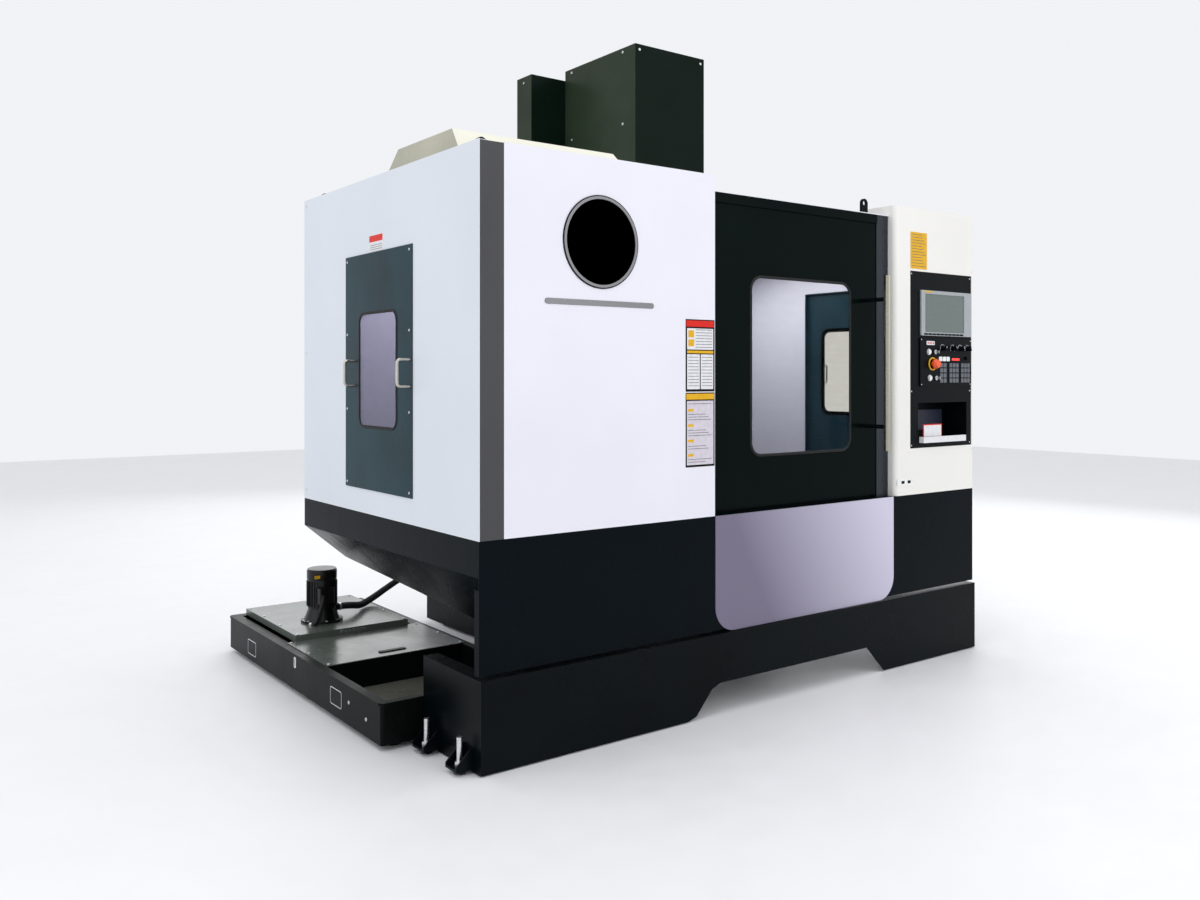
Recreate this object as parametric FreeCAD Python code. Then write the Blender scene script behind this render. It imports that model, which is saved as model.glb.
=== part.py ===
"""Vertical machining centre: cast C-frame inside a sheet-metal enclosure.

Every piece is first drawn from the enclosure's front left corner on the floor:
x runs right along the front, y runs back, z runs up, in millimetres.
put() then moves it so that the origin is under the middle of the whole machine.
"""
import FreeCAD, Part
import math
import os

V = FreeCAD.Vector

# ---- sheet metal and fits ----
SHEET = 3.0            # panel sheet
FRAME_SHEET = 6.0      # plinth and track sheet
SHAFT_FIT = 0.05       # radial running clearance of shafts
SLIDE_FIT = 0.3        # clearance of guides and glides
SEAM = 4.0             # gap between a lift-off cover's rim and its opening
FLANGE = 33.0          # folded edge of a panel

# ---- enclosure ----
ENCL_W = 2720.0
ENCL_D = 1530.0
ENCL_TOP = 2072.0
SILL_Z = 762.0         # seam between the white panels and the dark guards
ROOF_Z = 2018.0        # underside of the roof sheet
STRIP_W = 95.0         # corner strip
FRONT_PANEL_X1 = 1040.0
CTRL_W = 581.0         # operator's box at the right
JAMB_W = 79.0
GUARD_Z0 = 322.0
BAND_Z0 = 642.0        # lower edge of the dark side band
PAN_BEND_X = 190.0     # where the sloped underside ends
PAN_BEND_REAR_Z = 483.0
PAN_BEND_FRONT_Z = 400.0
PAN_FALL = 20.0        # fall of the pan floor from the bend to the bed
CHUTE_X, CHUTE_Y = (250.0, 420.0), (450.0, 600.0)

# ---- plinth and levelling ----
PLINTH_TOP = 310.0
PLINTH_PROUD = 13.0
PLINTH_DEPTH = 390.0
SKIRT_Y, SKIRT_Z = (760.0, 2060.0), (12.0, 330.0)  # dark sheet along the bed's left foot
PLINTH_GAP = 4.0
ARCH_X = (892.0, 1055.0, 1926.0, 2041.0)
ARCH_Z = 122.0
BRACKET_REACH = 66.0
BRACKET_H = 68.0
BRACKET_Z = 16.0
BRACKET_PLATE = 8.0
BRACKET_SPANS = ((32.0, 106.0), (259.0, 345.0))
JACK_R = 10.0
JACK_H = 118.0
BED_FOOT_H = 125.0
BED_FOOT_SET_IN = (500.0, 200.0)  # first and last row of pads, from the bed's ends
BED_PAD_R, BED_PAD_H, BED_STEM_R = 75.0, 18.0, 45.0

# ---- castings ----
BED_X = (880.0, 1840.0)
BED_Y = (60.0, 2100.0)
BED_TOP = 560.0
BED_WALL = 30.0
BED_DECK = 130.0       # solid top of the bed
BED_RUNNER = 170.0     # foot strips along its sides
GROOVE_W, GROOVE_H = 90.0, 60.0
COLUMN_X = (1010.0, 1710.0)
COLUMN_Y = (1350.0, 2050.0)
COLUMN_TOP = 2400.0
COLUMN_WALL = 30.0
COLUMN_FOOT = 60.0
COLUMN_FOOT_H = 40.0
SPINDLE_X = 1360.0
SPINDLE_Y = 800.0
RAIL_W = 35.0
RAIL_H = 40.0
Y_RAIL_SPREAD = 300.0
Z_RAIL_SPREAD = 200.0
X_RAIL_SPREAD = 170.0
SCREW_R = 20.0
NUT_R = 35.0
X_SCREW_R = 16.0
JOURNAL_R = 12.5
X_JOURNAL_R = 10.0
PAD_GAP = 8.0          # gap between a carriage and the face its rail stands on
SADDLE_Y = (480.0, 1080.0)
SADDLE_X = (610.0, 2110.0)
SADDLE_TOP = 720.0
SADDLE_SLAB = 80.0
TABLE_L, TABLE_W = 1000.0, 500.0
TABLE_TOP = 900.0
TABLE_SLAB = 60.0
SLOT_COUNT, SLOT_PITCH, SLOT_W, SLOT_DEPTH = 5, 100.0, 18.0, 30.0
SLOT_HEAD_W, SLOT_HEAD_H = 30.0, 14.0

# ---- head ----
CARRIAGE_HALF = 50.0
HEAD_X = (1180.0, 1540.0)
HEAD_Y = (640.0, 1290.0)
HEAD_Z = (1520.0, 1900.0)
SPINDLE_R = 40.0
NOSE_R = 62.0
NOSE_H = 20.0
TAPER_R, TAPER_END_R, TAPER_DEPTH = 22.225, 12.7, 65.0
DRAWBAR_R = 12.0
MOTOR_HALF, MOTOR_H = 115.0, 400.0
COVER_X, COVER_Y, COVER_TOP = (1157.0, 1563.0), (636.0, 1175.0), 2764.0
WAY_X, WAY_Y, WAY_Z = (963.0, 1757.0), (1175.0, 1300.0), (1960.0, 2719.0)
ROOF_GAP = 17.0        # room round the covers where they pass the roof

# ---- tool changer ----
POTS = 20
POT_CIRCLE_R = 225.0
POT_R = 28.0
DRUM_T = 14.0
POT_L = 90.0
MAGAZINE_X = 700.0
MAGAZINE_Z = 1740.0
HUB_R = 60.0
AXLE_R = 25.0
ARM_Z = (1430.0, 1470.0)
ARM_PIVOT_X = 1040.0
ARM_SHAFT_R = 25.0
CAM_HALF = 80.0        # half the width of the arm's cam box
ARM_GRIP_R = 36.0

# ---- door ----
DOOR_LAP = 30.0         # the closed door behind the white panel's edge
DOOR_X = (FRONT_PANEL_X1 - DOOR_LAP, ENCL_W - CTRL_W - JAMB_W - 2)
DOOR_Y = (48.0, 84.0)
DOOR_Z = (SILL_Z + 10, ROOF_Z - 28)
DOOR_PANE_X, DOOR_PANE_Z, PANE_R = (DOOR_X[0] + 271, DOOR_X[1] - 173), (979.0, 1701.0), 55.0
PANE_LAP = 20.0
PANE_T = 8.0
TRACK_Y = (40.0, 96.0)
TRACK_Z0 = ROOF_Z - 38
GLIDE_RAIL_Y, GLIDE_RAIL_TOP = (62.0, 74.0), SILL_Z + 20
JAMB_X = (ENCL_W - CTRL_W - JAMB_W, ENCL_W - CTRL_W)
HANDLE_X, HANDLE_Y, HANDLE_Z, HANDLE_R = DOOR_X[1] - 96, -92.0, (978.0, 1732.0), 15.0
STANDOFF_Z, STANDOFF_R = (1081.0, 1631.0), 9.0

# ---- guards and apron ----
GUARD_FOLD = 30.0
GUARD_LAP = 120.0      # the guards run on behind the apron by this
APRON_X1 = DOOR_X[1] + 60
APRON_R = 100.0

# ---- side covers ----
COVER_T = 4.0
SIDE_COVER_Y, SIDE_COVER_Z = (473.0, 1066.0), (857.0, 1778.0)
SIDE_PANE_Y, SIDE_PANE_Z, SIDE_PANE_R = (598.0, 930.0), (1102.0, 1545.0), 40.0
SIDE_LAP = 20.0
BOW_Y, BOW_Z, BOW_OUT, BOW_R = (485.0, 954.0), (1262.0, 1360.0), 52.0, 6.0

# ---- control box ----
CTRL_X = (ENCL_W - CTRL_W, ENCL_W)
CTRL_DEPTH = 260.0
CTRL_TOP = ENCL_TOP - 7
CTRL_CORNER_R = 25.0
FASCIA_X, FASCIA_Z = (ENCL_W - 478, ENCL_W - 8), (971.0, 1778.0)
FASCIA_LAP = 4.0
DISPLAY_X, DISPLAY_Z = (FASCIA_X[1] - 394, FASCIA_X[1] - 7), (1486.0, 1694.0)
PANEL_X, PANEL_Z = (FASCIA_X[1] - 400, FASCIA_X[1] - 7), (1253.0, 1475.0)
BEZEL_OUT = 5.0
PANEL_OUT = 3.0
UNIT_RIM = 10.0        # bezel overlap round the hole behind it
NICHE_X, NICHE_Z, NICHE_DEPTH = (FASCIA_X[1] - 412, FASCIA_X[1] - 32), (1000.0, 1180.0), 130.0
LIP_OUT = 22.0
PX, PZ = PANEL_X[0], PANEL_Z[0]
ESTOP_AT = (PX + 91, PZ + 103)
KNOBS = {"mode_knob": PX + 167, "feed_knob": PX + 245, "rapid_knob": PX + 304, "spindle_knob": PX + 361}
KNOB_Z = PZ + 176
BUTTONS = {"start_button": (PX + 61, PZ + 158), "hold_button": (PX + 68, PZ + 38)}
KEYS = {"key_switch_upper": (PX + 106, PZ + 158), "key_switch_lower": (PX + 113, PZ + 38)}

# ---- electrical cabinet ----
CAB_X, CAB_Y, CAB_Z = (ENCL_W - 820, ENCL_W - 20), (ENCL_D, ENCL_D + 420), (350.0, 2000.0)
CAB_RIM = 30.0
CAB_DOOR_T = 22.0
CAB_PIN_R = 5.0
CAB_KNUCKLE_R = 9.0

# ---- coolant tank ----
TANK_X, TANK_Y, TANK_Z = (-165.0, 500.0), (390.0, 2060.0), (20.0, 167.0)
TANK_WALL = 4.0
TANK_RIM = 35.0
TANK_HEM, TANK_HEM_H = 4.0, 9.0  # rolled hem along the outer top edge
TRAY_Y1 = 945.0
TRAY_FLOOR = 60.0
FRONT_LID_Y, REAR_LID_Y = (949.0, 1385.0), (1385.0, 2030.0)
REAR_LID_X, REAR_LID_TOP = (-94.0, 430.0), 195.0
PUMP_X, PUMP_Y, PUMP_R, PUMP_TOP = 105.0, 1591.0, 63.5, 431.0
HOSE_R = 16.0

# ---- roof hatch ----
HATCH_BASE = ((55.0, 844.0), (193.0, 880.0))
HATCH_CROWN = ((70.0, 783.0), (309.0, 737.0))
HATCH_TOP = 2172.0

# The whole machine's middle, from what reaches furthest each way.
REACH_LEFT = TANK_X[0]
REACH_RIGHT = ENCL_W + BRACKET_REACH
REACH_FRONT = HANDLE_Y - HANDLE_R
REACH_BACK = BED_Y[1]
TO_ORIGIN = V(-(REACH_LEFT + REACH_RIGHT) / 2, -(REACH_FRONT + REACH_BACK) / 2, 0)

PARTS = {}


def put(name, *shapes):
    """Keep a node: its shapes, moved so that the origin is under the machine's middle."""
    moved = [s.translated(TO_ORIGIN) for s in shapes]
    PARTS[name] = moved[0] if len(moved) == 1 else Part.makeCompound(moved)


def box(x, y, z):
    """A box from (low, high) pairs."""
    return Part.makeBox(x[1] - x[0], y[1] - y[0], z[1] - z[0], V(x[0], y[0], z[0]))


def rod(radius, length, at, along):
    return Part.makeCylinder(radius, length, V(*at), V(*along))


def fuse(first, *rest):
    return first.multiFuse(list(rest)).removeSplitter()


def cut(body, *tools):
    for tool in tools:
        body = body.cut(tool)
    return body


def prism(outline, axis, span):
    """A straight-edged outline pushed along an axis. Its pairs are (y, z), (x, z) or (x, y)."""
    a, b = span
    place = {
        "x": lambda u, v: V(a, u, v),
        "y": lambda u, v: V(u, a, v),
        "z": lambda u, v: V(u, v, a),
    }[axis]
    push = {"x": V(b - a, 0, 0), "y": V(0, b - a, 0), "z": V(0, 0, b - a)}[axis]
    corners = [place(u, v) for u, v in outline]
    return Part.Face(Part.makePolygon(corners + corners[:1])).extrude(push)


def rounded(solid, axis, radius):
    """The solid with its edges along one axis rounded."""
    along = {"x": V(1, 0, 0), "y": V(0, 1, 0), "z": V(0, 0, 1)}[axis]
    edges = [e for e in solid.Edges if abs(e.tangentAt(e.FirstParameter).dot(along)) > 0.999]
    return solid.makeFillet(radius, edges)


def grow(span, by):
    return (span[0] - by, span[1] + by)


def mirrored(shape):
    """The shape on the machine's other side."""
    return shape.mirror(V(ENCL_W / 2, 0, 0), V(1, 0, 0))


def bent_rod(points, radius, bend):
    """A round rod along straight runs, joined by tangent arcs of one bend radius."""
    pts = [V(*p) for p in points]
    edges, start = [], pts[0]
    for before, corner, after in zip(pts, pts[1:], pts[2:]):
        back, ahead = (before - corner).normalize(), (after - corner).normalize()
        half = back.getAngle(ahead) / 2
        r = bend if bend else 0.45 * min((before - corner).Length, (after - corner).Length) * math.tan(half)
        reach = r / math.tan(half)
        a, b = corner + back * reach, corner + ahead * reach
        inward = (back + ahead).normalize()
        middle = corner + inward * (r / math.sin(half) - r)
        if (a - start).Length > 0.01:
            edges.append(Part.LineSegment(start, a).toShape())
        edges.append(Part.Arc(a, middle, b).toShape())
        start = b
    edges.append(Part.LineSegment(start, pts[-1]).toShape())
    path = Part.Wire(edges)
    ring = Part.Wire(Part.Circle(pts[0], pts[1] - pts[0], radius).toShape())
    return path.makePipeShell([ring], True, True)


# ---------------------------------------------------------------- plinth
def base_plinth():
    """Front sheet with arch, side returns, top flange and levelling brackets; and the bed's left skirt."""
    y0, y1 = -PLINTH_PROUD, -PLINTH_PROUD + FRAME_SHEET
    xa, xb, xc, xd = ARCH_X
    corner = (xb - xa) / 4
    outline = [(0, PLINTH_GAP), (xa, PLINTH_GAP), (xa + corner, PLINTH_GAP + 12), (xb - corner, ARCH_Z - 16),
               (xb, ARCH_Z), (xc, ARCH_Z), (xd, PLINTH_GAP), (ENCL_W, PLINTH_GAP),
               (ENCL_W, PLINTH_TOP), (0, PLINTH_TOP)]
    front = prism(outline, "y", (y0, y1))
    side = box((0, FRAME_SHEET), (y0, PLINTH_DEPTH), (PLINTH_GAP, PLINTH_TOP))
    top = box((0, ENCL_W), (y0, BED_Y[0]), (PLINTH_TOP - FRAME_SHEET, PLINTH_TOP))
    side_top = box((0, 60), (y0, PLINTH_DEPTH), (PLINTH_TOP - FRAME_SHEET, PLINTH_TOP))
    brackets = []
    for span in BRACKET_SPANS:
        plate = box((-BRACKET_REACH, 0), span, (BRACKET_Z, BRACKET_Z + BRACKET_PLATE))
        middle = (-BRACKET_REACH / 2, sum(span) / 2, BRACKET_Z - 2)
        hole = rod(JACK_R + 0.5, 2 * BRACKET_PLATE, middle, (0, 0, 1))
        web = [(-BRACKET_REACH, BRACKET_Z), (0, BRACKET_Z), (0, BRACKET_Z + BRACKET_H),
               (-12, BRACKET_Z + BRACKET_H), (-BRACKET_REACH, BRACKET_Z + 2 * BRACKET_PLATE)]
        webs = [prism(web, "y", (y, y + FRAME_SHEET)) for y in (span[0], span[1] - FRAME_SHEET)]
        brackets.append(fuse(plate.cut(hole), *webs))
    left = [side, side_top] + brackets
    skirt = box((BED_X[0] - FRAME_SHEET, BED_X[0]), SKIRT_Y, SKIRT_Z)
    return [fuse(front, top, *left, *[mirrored(s) for s in left]), skirt]


def levelling_bolts():
    """Jack bolts through the plinth's brackets, and six pads under the bed."""
    jacks = []
    for span in BRACKET_SPANS:
        x, y = -BRACKET_REACH / 2, sum(span) / 2
        pad = Part.makeCone(22, JACK_R, BRACKET_Z - 6, V(x, y, 0))
        nut = [(x + 17 * math.cos(math.radians(a)), y + 17 * math.sin(math.radians(a)))
               for a in range(0, 360, 60)]
        top = BRACKET_Z + BRACKET_PLATE
        jacks.append(fuse(pad, rod(JACK_R, JACK_H, (x, y, 0), (0, 0, 1)), prism(nut, "z", (top, top + 16))))
    feet = []
    for x in (BED_X[0] + 90, BED_X[1] - 90):
        for k in range(3):
            first, last = BED_Y[0] + BED_FOOT_SET_IN[0], BED_Y[1] - BED_FOOT_SET_IN[1]
            y = first + k * (last - first) / 2
            pad = rod(BED_PAD_R, BED_PAD_H, (x, y, 0), (0, 0, 1))
            feet.append(fuse(pad, rod(BED_STEM_R, BED_FOOT_H, (x, y, 0), (0, 0, 1))))
    return jacks + [mirrored(j) for j in jacks] + feet


# ---------------------------------------------------------------- guards and pans
def lower_guards():
    """The dark front sheets on each side, with edges folded back. They run on behind the apron."""
    def guard(x0, x1):
        z = (GUARD_Z0, SILL_Z)
        sheet = box((x0, x1), (0, SHEET), z)
        folds = [box((x0, x0 + SHEET), (0, GUARD_FOLD), (GUARD_Z0, BAND_Z0 - 40)),
                 box((x0, x1), (0, GUARD_FOLD), (GUARD_Z0, GUARD_Z0 + SHEET))]
        return fuse(sheet, *folds)
    left = guard(0, FRONT_PANEL_X1 + GUARD_LAP)
    right = guard(0, ENCL_W - APRON_X1 + GUARD_LAP)
    return [left, mirrored(right)]


def apron_panel():
    """The bright front apron under the door, with rounded bottom corners, on the guards' faces."""
    sheet = box((FRONT_PANEL_X1, APRON_X1), (-COVER_T, 0), (PLINTH_TOP + 2, SILL_Z))
    low = [e for e in sheet.Edges if abs(e.CenterOfMass.y + COVER_T / 2) < 0.01
           and e.CenterOfMass.z < SILL_Z - 1 and abs(e.Length - COVER_T) < 0.01]
    return sheet.makeFillet(APRON_R, low)


def pan_section(y, front_share):
    """The pan's section: side band, slope and floor, as (x, z) points of its top and underside."""
    bend = PAN_BEND_REAR_Z + (PAN_BEND_FRONT_Z - PAN_BEND_REAR_Z) * front_share
    top = [(SHEET, SILL_Z), (SHEET, BAND_Z0 + 1), (PAN_BEND_X + 1, bend + SHEET),
           (BED_X[0], bend + SHEET - PAN_FALL)]
    under = [(BED_X[0], bend - PAN_FALL), (PAN_BEND_X, bend), (0, BAND_Z0), (0, SILL_Z)]
    points = [V(x, y, z) for x, z in top + under]
    return Part.Wire(Part.makePolygon(points + points[:1]))


def chip_pans():
    """A folded pan on each side of the bed, falling to the front. The left one has a chute hole."""
    pan = Part.makeLoft([pan_section(SHEET, 1.0), pan_section(ENCL_D - SHEET, 0.0)], True, True)
    chute = box(CHUTE_X, CHUTE_Y, (300, 600))
    return [pan.cut(chute), mirrored(pan)]


# ---------------------------------------------------------------- white enclosure panels
def side_panel(y0):
    """A side sheet with its top and ends folded in, and the opening of the lift-off cover."""
    z = (SILL_Z, ENCL_TOP)
    sheet = box((0, SHEET), (y0, ENCL_D), z)
    opening = box((-1, 2 * SHEET), grow(SIDE_COVER_Y, -SIDE_LAP), grow(SIDE_COVER_Z, -SIDE_LAP))
    top = box((0, FLANGE), (y0 + SHEET, ENCL_D), (ENCL_TOP - SHEET, ENCL_TOP))
    return fuse(sheet.cut(opening), top)


def front_left_panel():
    """The big front sheet left of the door, with folded edges."""
    x, z = (STRIP_W, FRONT_PANEL_X1), (SILL_Z, ENCL_TOP)
    sheet = box(x, (0, SHEET), z)
    y = (0, FLANGE)
    folds = [box((x[1] - SHEET, x[1]), y, z), box((x[0], x[0] + SHEET), y, z),
             box(x, y, (ENCL_TOP - SHEET, ENCL_TOP)), box(x, y, (SILL_Z, SILL_Z + SHEET))]
    return fuse(sheet, *folds)


def corner_strip():
    """The charcoal strip on the front left corner."""
    x, z = (SHEET, STRIP_W), (SILL_Z, ENCL_TOP - SHEET)
    return fuse(box(x, (0, SHEET), z), box((x[1] - SHEET, x[1]), (0, FLANGE), z),
                box(x, (0, GUARD_FOLD), (SILL_Z, SILL_Z + SHEET)))


def rear_panel():
    """The back sheet, cut round the column and down to the pans."""
    y = (ENCL_D - SHEET, ENCL_D)
    low = PAN_BEND_REAR_Z - PAN_FALL
    foot_x, wall_x = COLUMN_X[0] - COLUMN_FOOT - SEAM, COLUMN_X[0] - SEAM
    foot_top = BED_TOP + COLUMN_FOOT_H + 1
    half = [(SHEET, ROOF_Z), (SHEET, BAND_Z0), (PAN_BEND_X, PAN_BEND_REAR_Z), (BED_X[0], low),
            (BED_X[0], BED_TOP + 1), (foot_x, BED_TOP + 1), (foot_x, foot_top), (wall_x, foot_top),
            (wall_x, ROOF_Z)]
    return [prism(half, "y", y), mirrored(prism(half, "y", y))]


def roof_panel():
    """The roof sheet, with a T-shaped hole for the head's covers and one under the hatch."""
    sheet = box((SHEET, ENCL_W - SHEET), (SHEET + FLANGE, ENCL_D), (ROOF_Z, ROOF_Z + SHEET))
    z = (ROOF_Z - 1, ROOF_Z + 2 * SHEET)
    holes = [box(grow(COVER_X, ROOF_GAP), (COVER_Y[0] - ROOF_GAP, COVER_Y[1] + 5), z),
             box(grow(WAY_X, ROOF_GAP), (WAY_Y[0] - 15, WAY_Y[1] + 35), z),
             box(grow(COLUMN_X, SEAM), (WAY_Y[1], ENCL_D + 1), z),
             box(grow(HATCH_CROWN[0], -20), grow(HATCH_CROWN[1], -20), z),
             box((CTRL_X[0], CTRL_X[1]), (0, CTRL_DEPTH), z)]
    return cut(sheet, *holes)


def frustum(by, z0, z1):
    rings = []
    for (xs, ys), z in ((HATCH_BASE, z0), (HATCH_CROWN, z1)):
        (xa, xb), (ya, yb) = grow(xs, by), grow(ys, by)
        corners = [V(xa, ya, z), V(xb, ya, z), V(xb, yb, z), V(xa, yb, z)]
        rings.append(Part.Wire(Part.makePolygon(corners + corners[:1])))
    return Part.makeLoft(rings, True, True)


def roof_hatch():
    """A raised sheet cover on the roof, open below."""
    z0 = ROOF_Z + SHEET
    return frustum(0, z0, HATCH_TOP).cut(frustum(-SHEET, z0 - 0.01, HATCH_TOP - SHEET))


def lifting_lugs():
    """Four rounded lifting plates on feet at the roof's corners."""
    lugs = []
    for x, y in ((60, 90), (JAMB_X[0], 115), (60, ENCL_D - 90), (ENCL_W - 60, ENCL_D - 90)):
        z = ROOF_Z + SHEET
        plate = fuse(box((x - 22, x + 22), (y - 5, y + 5), (z, ENCL_TOP + 6)),
                     rod(22, 10, (x, y - 5, ENCL_TOP + 6), (0, 1, 0)))
        hole = rod(11, 12, (x, y - 6, ENCL_TOP + 8), (0, 1, 0))
        lugs.append(fuse(plate.cut(hole), box((x - 30, x + 30), (y - 22, y + 22), (z, z + 8))))
    return lugs


# ---------------------------------------------------------------- door
def door_tracks():
    """Sill with its glide rail, the top channel and the jamb post that the door closes on."""
    x = (STRIP_W + 8, JAMB_X[0])
    sill = box((x[0], CTRL_X[0]), (SHEET, 115), (SILL_Z - 12, SILL_Z))
    rail = box(x, GLIDE_RAIL_Y, (SILL_Z, GLIDE_RAIL_TOP))
    lips = [box(x, (y, y + 4), (TRACK_Z0, ROOF_Z)) for y in (TRACK_Y[0], TRACK_Y[1] - 4)]
    top = fuse(box(x, TRACK_Y, (ROOF_Z - 4, ROOF_Z)), *lips)
    jamb = cut(box(JAMB_X, (TRACK_Y[0] + 4, TRACK_Y[1]), (SILL_Z, ROOF_Z)),
               box(grow(JAMB_X, -4), (TRACK_Y[0] + 10, TRACK_Y[1] + 1), (SILL_Z + 4, ROOF_Z - 4)))
    return [fuse(sill, rail), top, jamb]


def door_panel():
    """The sliding door: a folded sheet round its window, with a glide groove along the bottom."""
    y0, y1 = DOOR_Y
    pane = rounded(box(DOOR_PANE_X, (y0 - 5, y1 + 5), DOOR_PANE_Z), "y", PANE_R)
    hollow = box(grow(DOOR_X, -SHEET), (y0 + SHEET, y1 + 1), (DOOR_Z[0] + 40, DOOR_Z[1] - SHEET))
    body = box(DOOR_X, DOOR_Y, DOOR_Z).cut(hollow)
    groove = box(grow(DOOR_X, 1), grow(GLIDE_RAIL_Y, SLIDE_FIT), (DOOR_Z[0] - 1, GLIDE_RAIL_TOP + SLIDE_FIT))
    return cut(body, pane, groove)


def door_window():
    """The door's glass, behind the sheet."""
    y = (DOOR_Y[0] + SHEET, DOOR_Y[0] + SHEET + PANE_T)
    return rounded(box(grow(DOOR_PANE_X, PANE_LAP), y, grow(DOOR_PANE_Z, PANE_LAP)), "y", PANE_R + PANE_LAP)


def door_handle():
    """A long upright grip bar on two standoffs."""
    bar = rod(HANDLE_R, HANDLE_Z[1] - HANDLE_Z[0], (HANDLE_X, HANDLE_Y, HANDLE_Z[0]), (0, 0, 1))
    legs = [rod(STANDOFF_R, DOOR_Y[0] - HANDLE_Y, (HANDLE_X, HANDLE_Y, z), (0, 1, 0)) for z in STANDOFF_Z]
    return fuse(bar, *legs)


# ---------------------------------------------------------------- lift-off side covers
def side_cover():
    """A lift-off cover on the side panel's face, with a rim inside the opening and a window hole."""
    sheet = box((-COVER_T, 0), SIDE_COVER_Y, SIDE_COVER_Z)
    rim_y, rim_z = grow(SIDE_COVER_Y, -SIDE_LAP - SEAM), grow(SIDE_COVER_Z, -SIDE_LAP - SEAM)
    rim = box((-1, 25), rim_y, rim_z).cut(box((-2, 26), grow(rim_y, -SHEET), grow(rim_z, -SHEET)))
    hole = rounded(box((-10, 10), SIDE_PANE_Y, SIDE_PANE_Z), "x", SIDE_PANE_R)
    return fuse(sheet, rim).cut(hole)


def side_window():
    return rounded(box((0, 6), grow(SIDE_PANE_Y, 15), grow(SIDE_PANE_Z, 15)), "x", SIDE_PANE_R + 15)


def bow_handles():
    """Two bow handles, one by each edge of the cover."""
    x = -COVER_T
    bows = []
    for y in BOW_Y:
        low, high = BOW_Z
        points = [(x, y, low), (x - BOW_OUT, y, low), (x - BOW_OUT, y, high), (x, y, high)]
        bows.append(bent_rod(points, BOW_R, 14))
    return bows


# ---------------------------------------------------------------- castings and guides
SCREW_Z = BED_TOP - 15
Z_SCREW_Y = COLUMN_Y[0] + 40
X_SCREW_Z = SADDLE_TOP + 24
SADDLE_PAD_Z = BED_TOP + PAD_GAP
Y_MOTOR_FACE = 180.0
CHANNEL_HALF = 70.0
CHANNEL_DEEP = 110.0
CHANNEL_Z0 = 980.0
RAIL_Z0 = 1000.0


def rail(at, along, length):
    """A profile rail: a bar with its flanks waisted."""
    w, h = RAIL_W / 2, RAIL_H
    right = [(w, 0), (w, 0.4 * h), (w - 4, 0.5 * h), (w - 4, 0.7 * h), (w, 0.8 * h), (w, h)]
    section = right + [(-u, v) for u, v in reversed(right)]
    x, y, z = at
    if along == "x":
        return prism([(y + u, z + v) for u, v in section], "x", (x, x + length))
    if along == "y":
        return prism([(x + u, z + v) for u, v in section], "y", (y, y + length))
    return prism([(x + u, y - v) for u, v in section], "z", (z, z + length))


def bed():
    """The cast bed: ribbed, open below, with the Y screw's groove, motor pocket and bearing blocks."""
    body = box(BED_X, BED_Y, (BED_FOOT_H, BED_TOP))
    cells = []
    x, y = grow(BED_X, -BED_WALL), grow(BED_Y, -BED_WALL)
    pitch = (y[1] - y[0] + BED_WALL) / 4
    for k in range(4):
        start = y[0] + k * pitch
        cells.append(box(x, (start, start + pitch - BED_WALL), (BED_FOOT_H - 1, BED_TOP - BED_DECK)))
    feet = [box((x0, x0 + BED_RUNNER), (y[0] + 39, y[1]), (BED_FOOT_H, BED_FOOT_H + 20)) for x0 in
            (BED_X[0], BED_X[1] - BED_RUNNER)]
    groove_x = grow((SPINDLE_X, SPINDLE_X), GROOVE_W / 2)
    groove = box(groove_x, (Y_MOTOR_FACE, COLUMN_Y[0] - 2), (BED_TOP - GROOVE_H, BED_TOP + 1))
    pocket = box(grow(groove_x, 25), (BED_Y[0] - 1, Y_MOTOR_FACE), (BED_TOP - GROOVE_H - 30, BED_TOP + 1))
    body = fuse(cut(body, *cells), *feet)
    body = cut(body, groove, pocket)
    blocks = [box(groove_x, (y0, y0 + 20), (BED_TOP - GROOVE_H, BED_TOP)) for y0 in
              (Y_MOTOR_FACE + 5, COLUMN_Y[0] - 24)]
    bore = rod(JOURNAL_R + SHAFT_FIT, COLUMN_Y[0] - 150, (SPINDLE_X, 150, SCREW_Z), (0, 1, 0))
    return fuse(body, *blocks).cut(bore)


def column():
    """The cast column: hollow, with a channel for the Z screw in front and a motor plate on top."""
    x, y, z = COLUMN_X, COLUMN_Y, (BED_TOP, COLUMN_TOP)
    inside = box(grow(x, -COLUMN_WALL), grow(y, -COLUMN_WALL), (z[0] + 40, z[1] - 30))
    channel_x = (SPINDLE_X - CHANNEL_HALF, SPINDLE_X + CHANNEL_HALF)
    wall_y = (y[0] + 1, y[0] + CHANNEL_DEEP + COLUMN_WALL)
    wall = box(grow(channel_x, COLUMN_WALL), wall_y, (z[0] + 40, z[1] - 30))
    channel = box(channel_x, (y[0] - 1, y[0] + CHANNEL_DEEP), (CHANNEL_Z0, z[1] - 30))
    block = box(channel_x, (y[0] + 2, y[0] + CHANNEL_DEEP), (CHANNEL_Z0, CHANNEL_Z0 + 25))
    window_z = (z[0] + 300, z[0] + 1000)
    window = rounded(box(grow(x, -180), (y[1] - 60, y[1] + 1), window_z), "y", 60)
    foot = box(grow(x, COLUMN_FOOT), (y[0], y[1] + 40), (z[0], z[0] + COLUMN_FOOT_H))
    body = fuse(box(x, y, z).cut(inside), wall, foot)
    bore = rod(JOURNAL_R + SHAFT_FIT, COLUMN_TOP, (SPINDLE_X, Z_SCREW_Y, CHANNEL_Z0 - 20), (0, 0, 1))
    return cut(fuse(cut(body, channel, window), block), bore)


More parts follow.
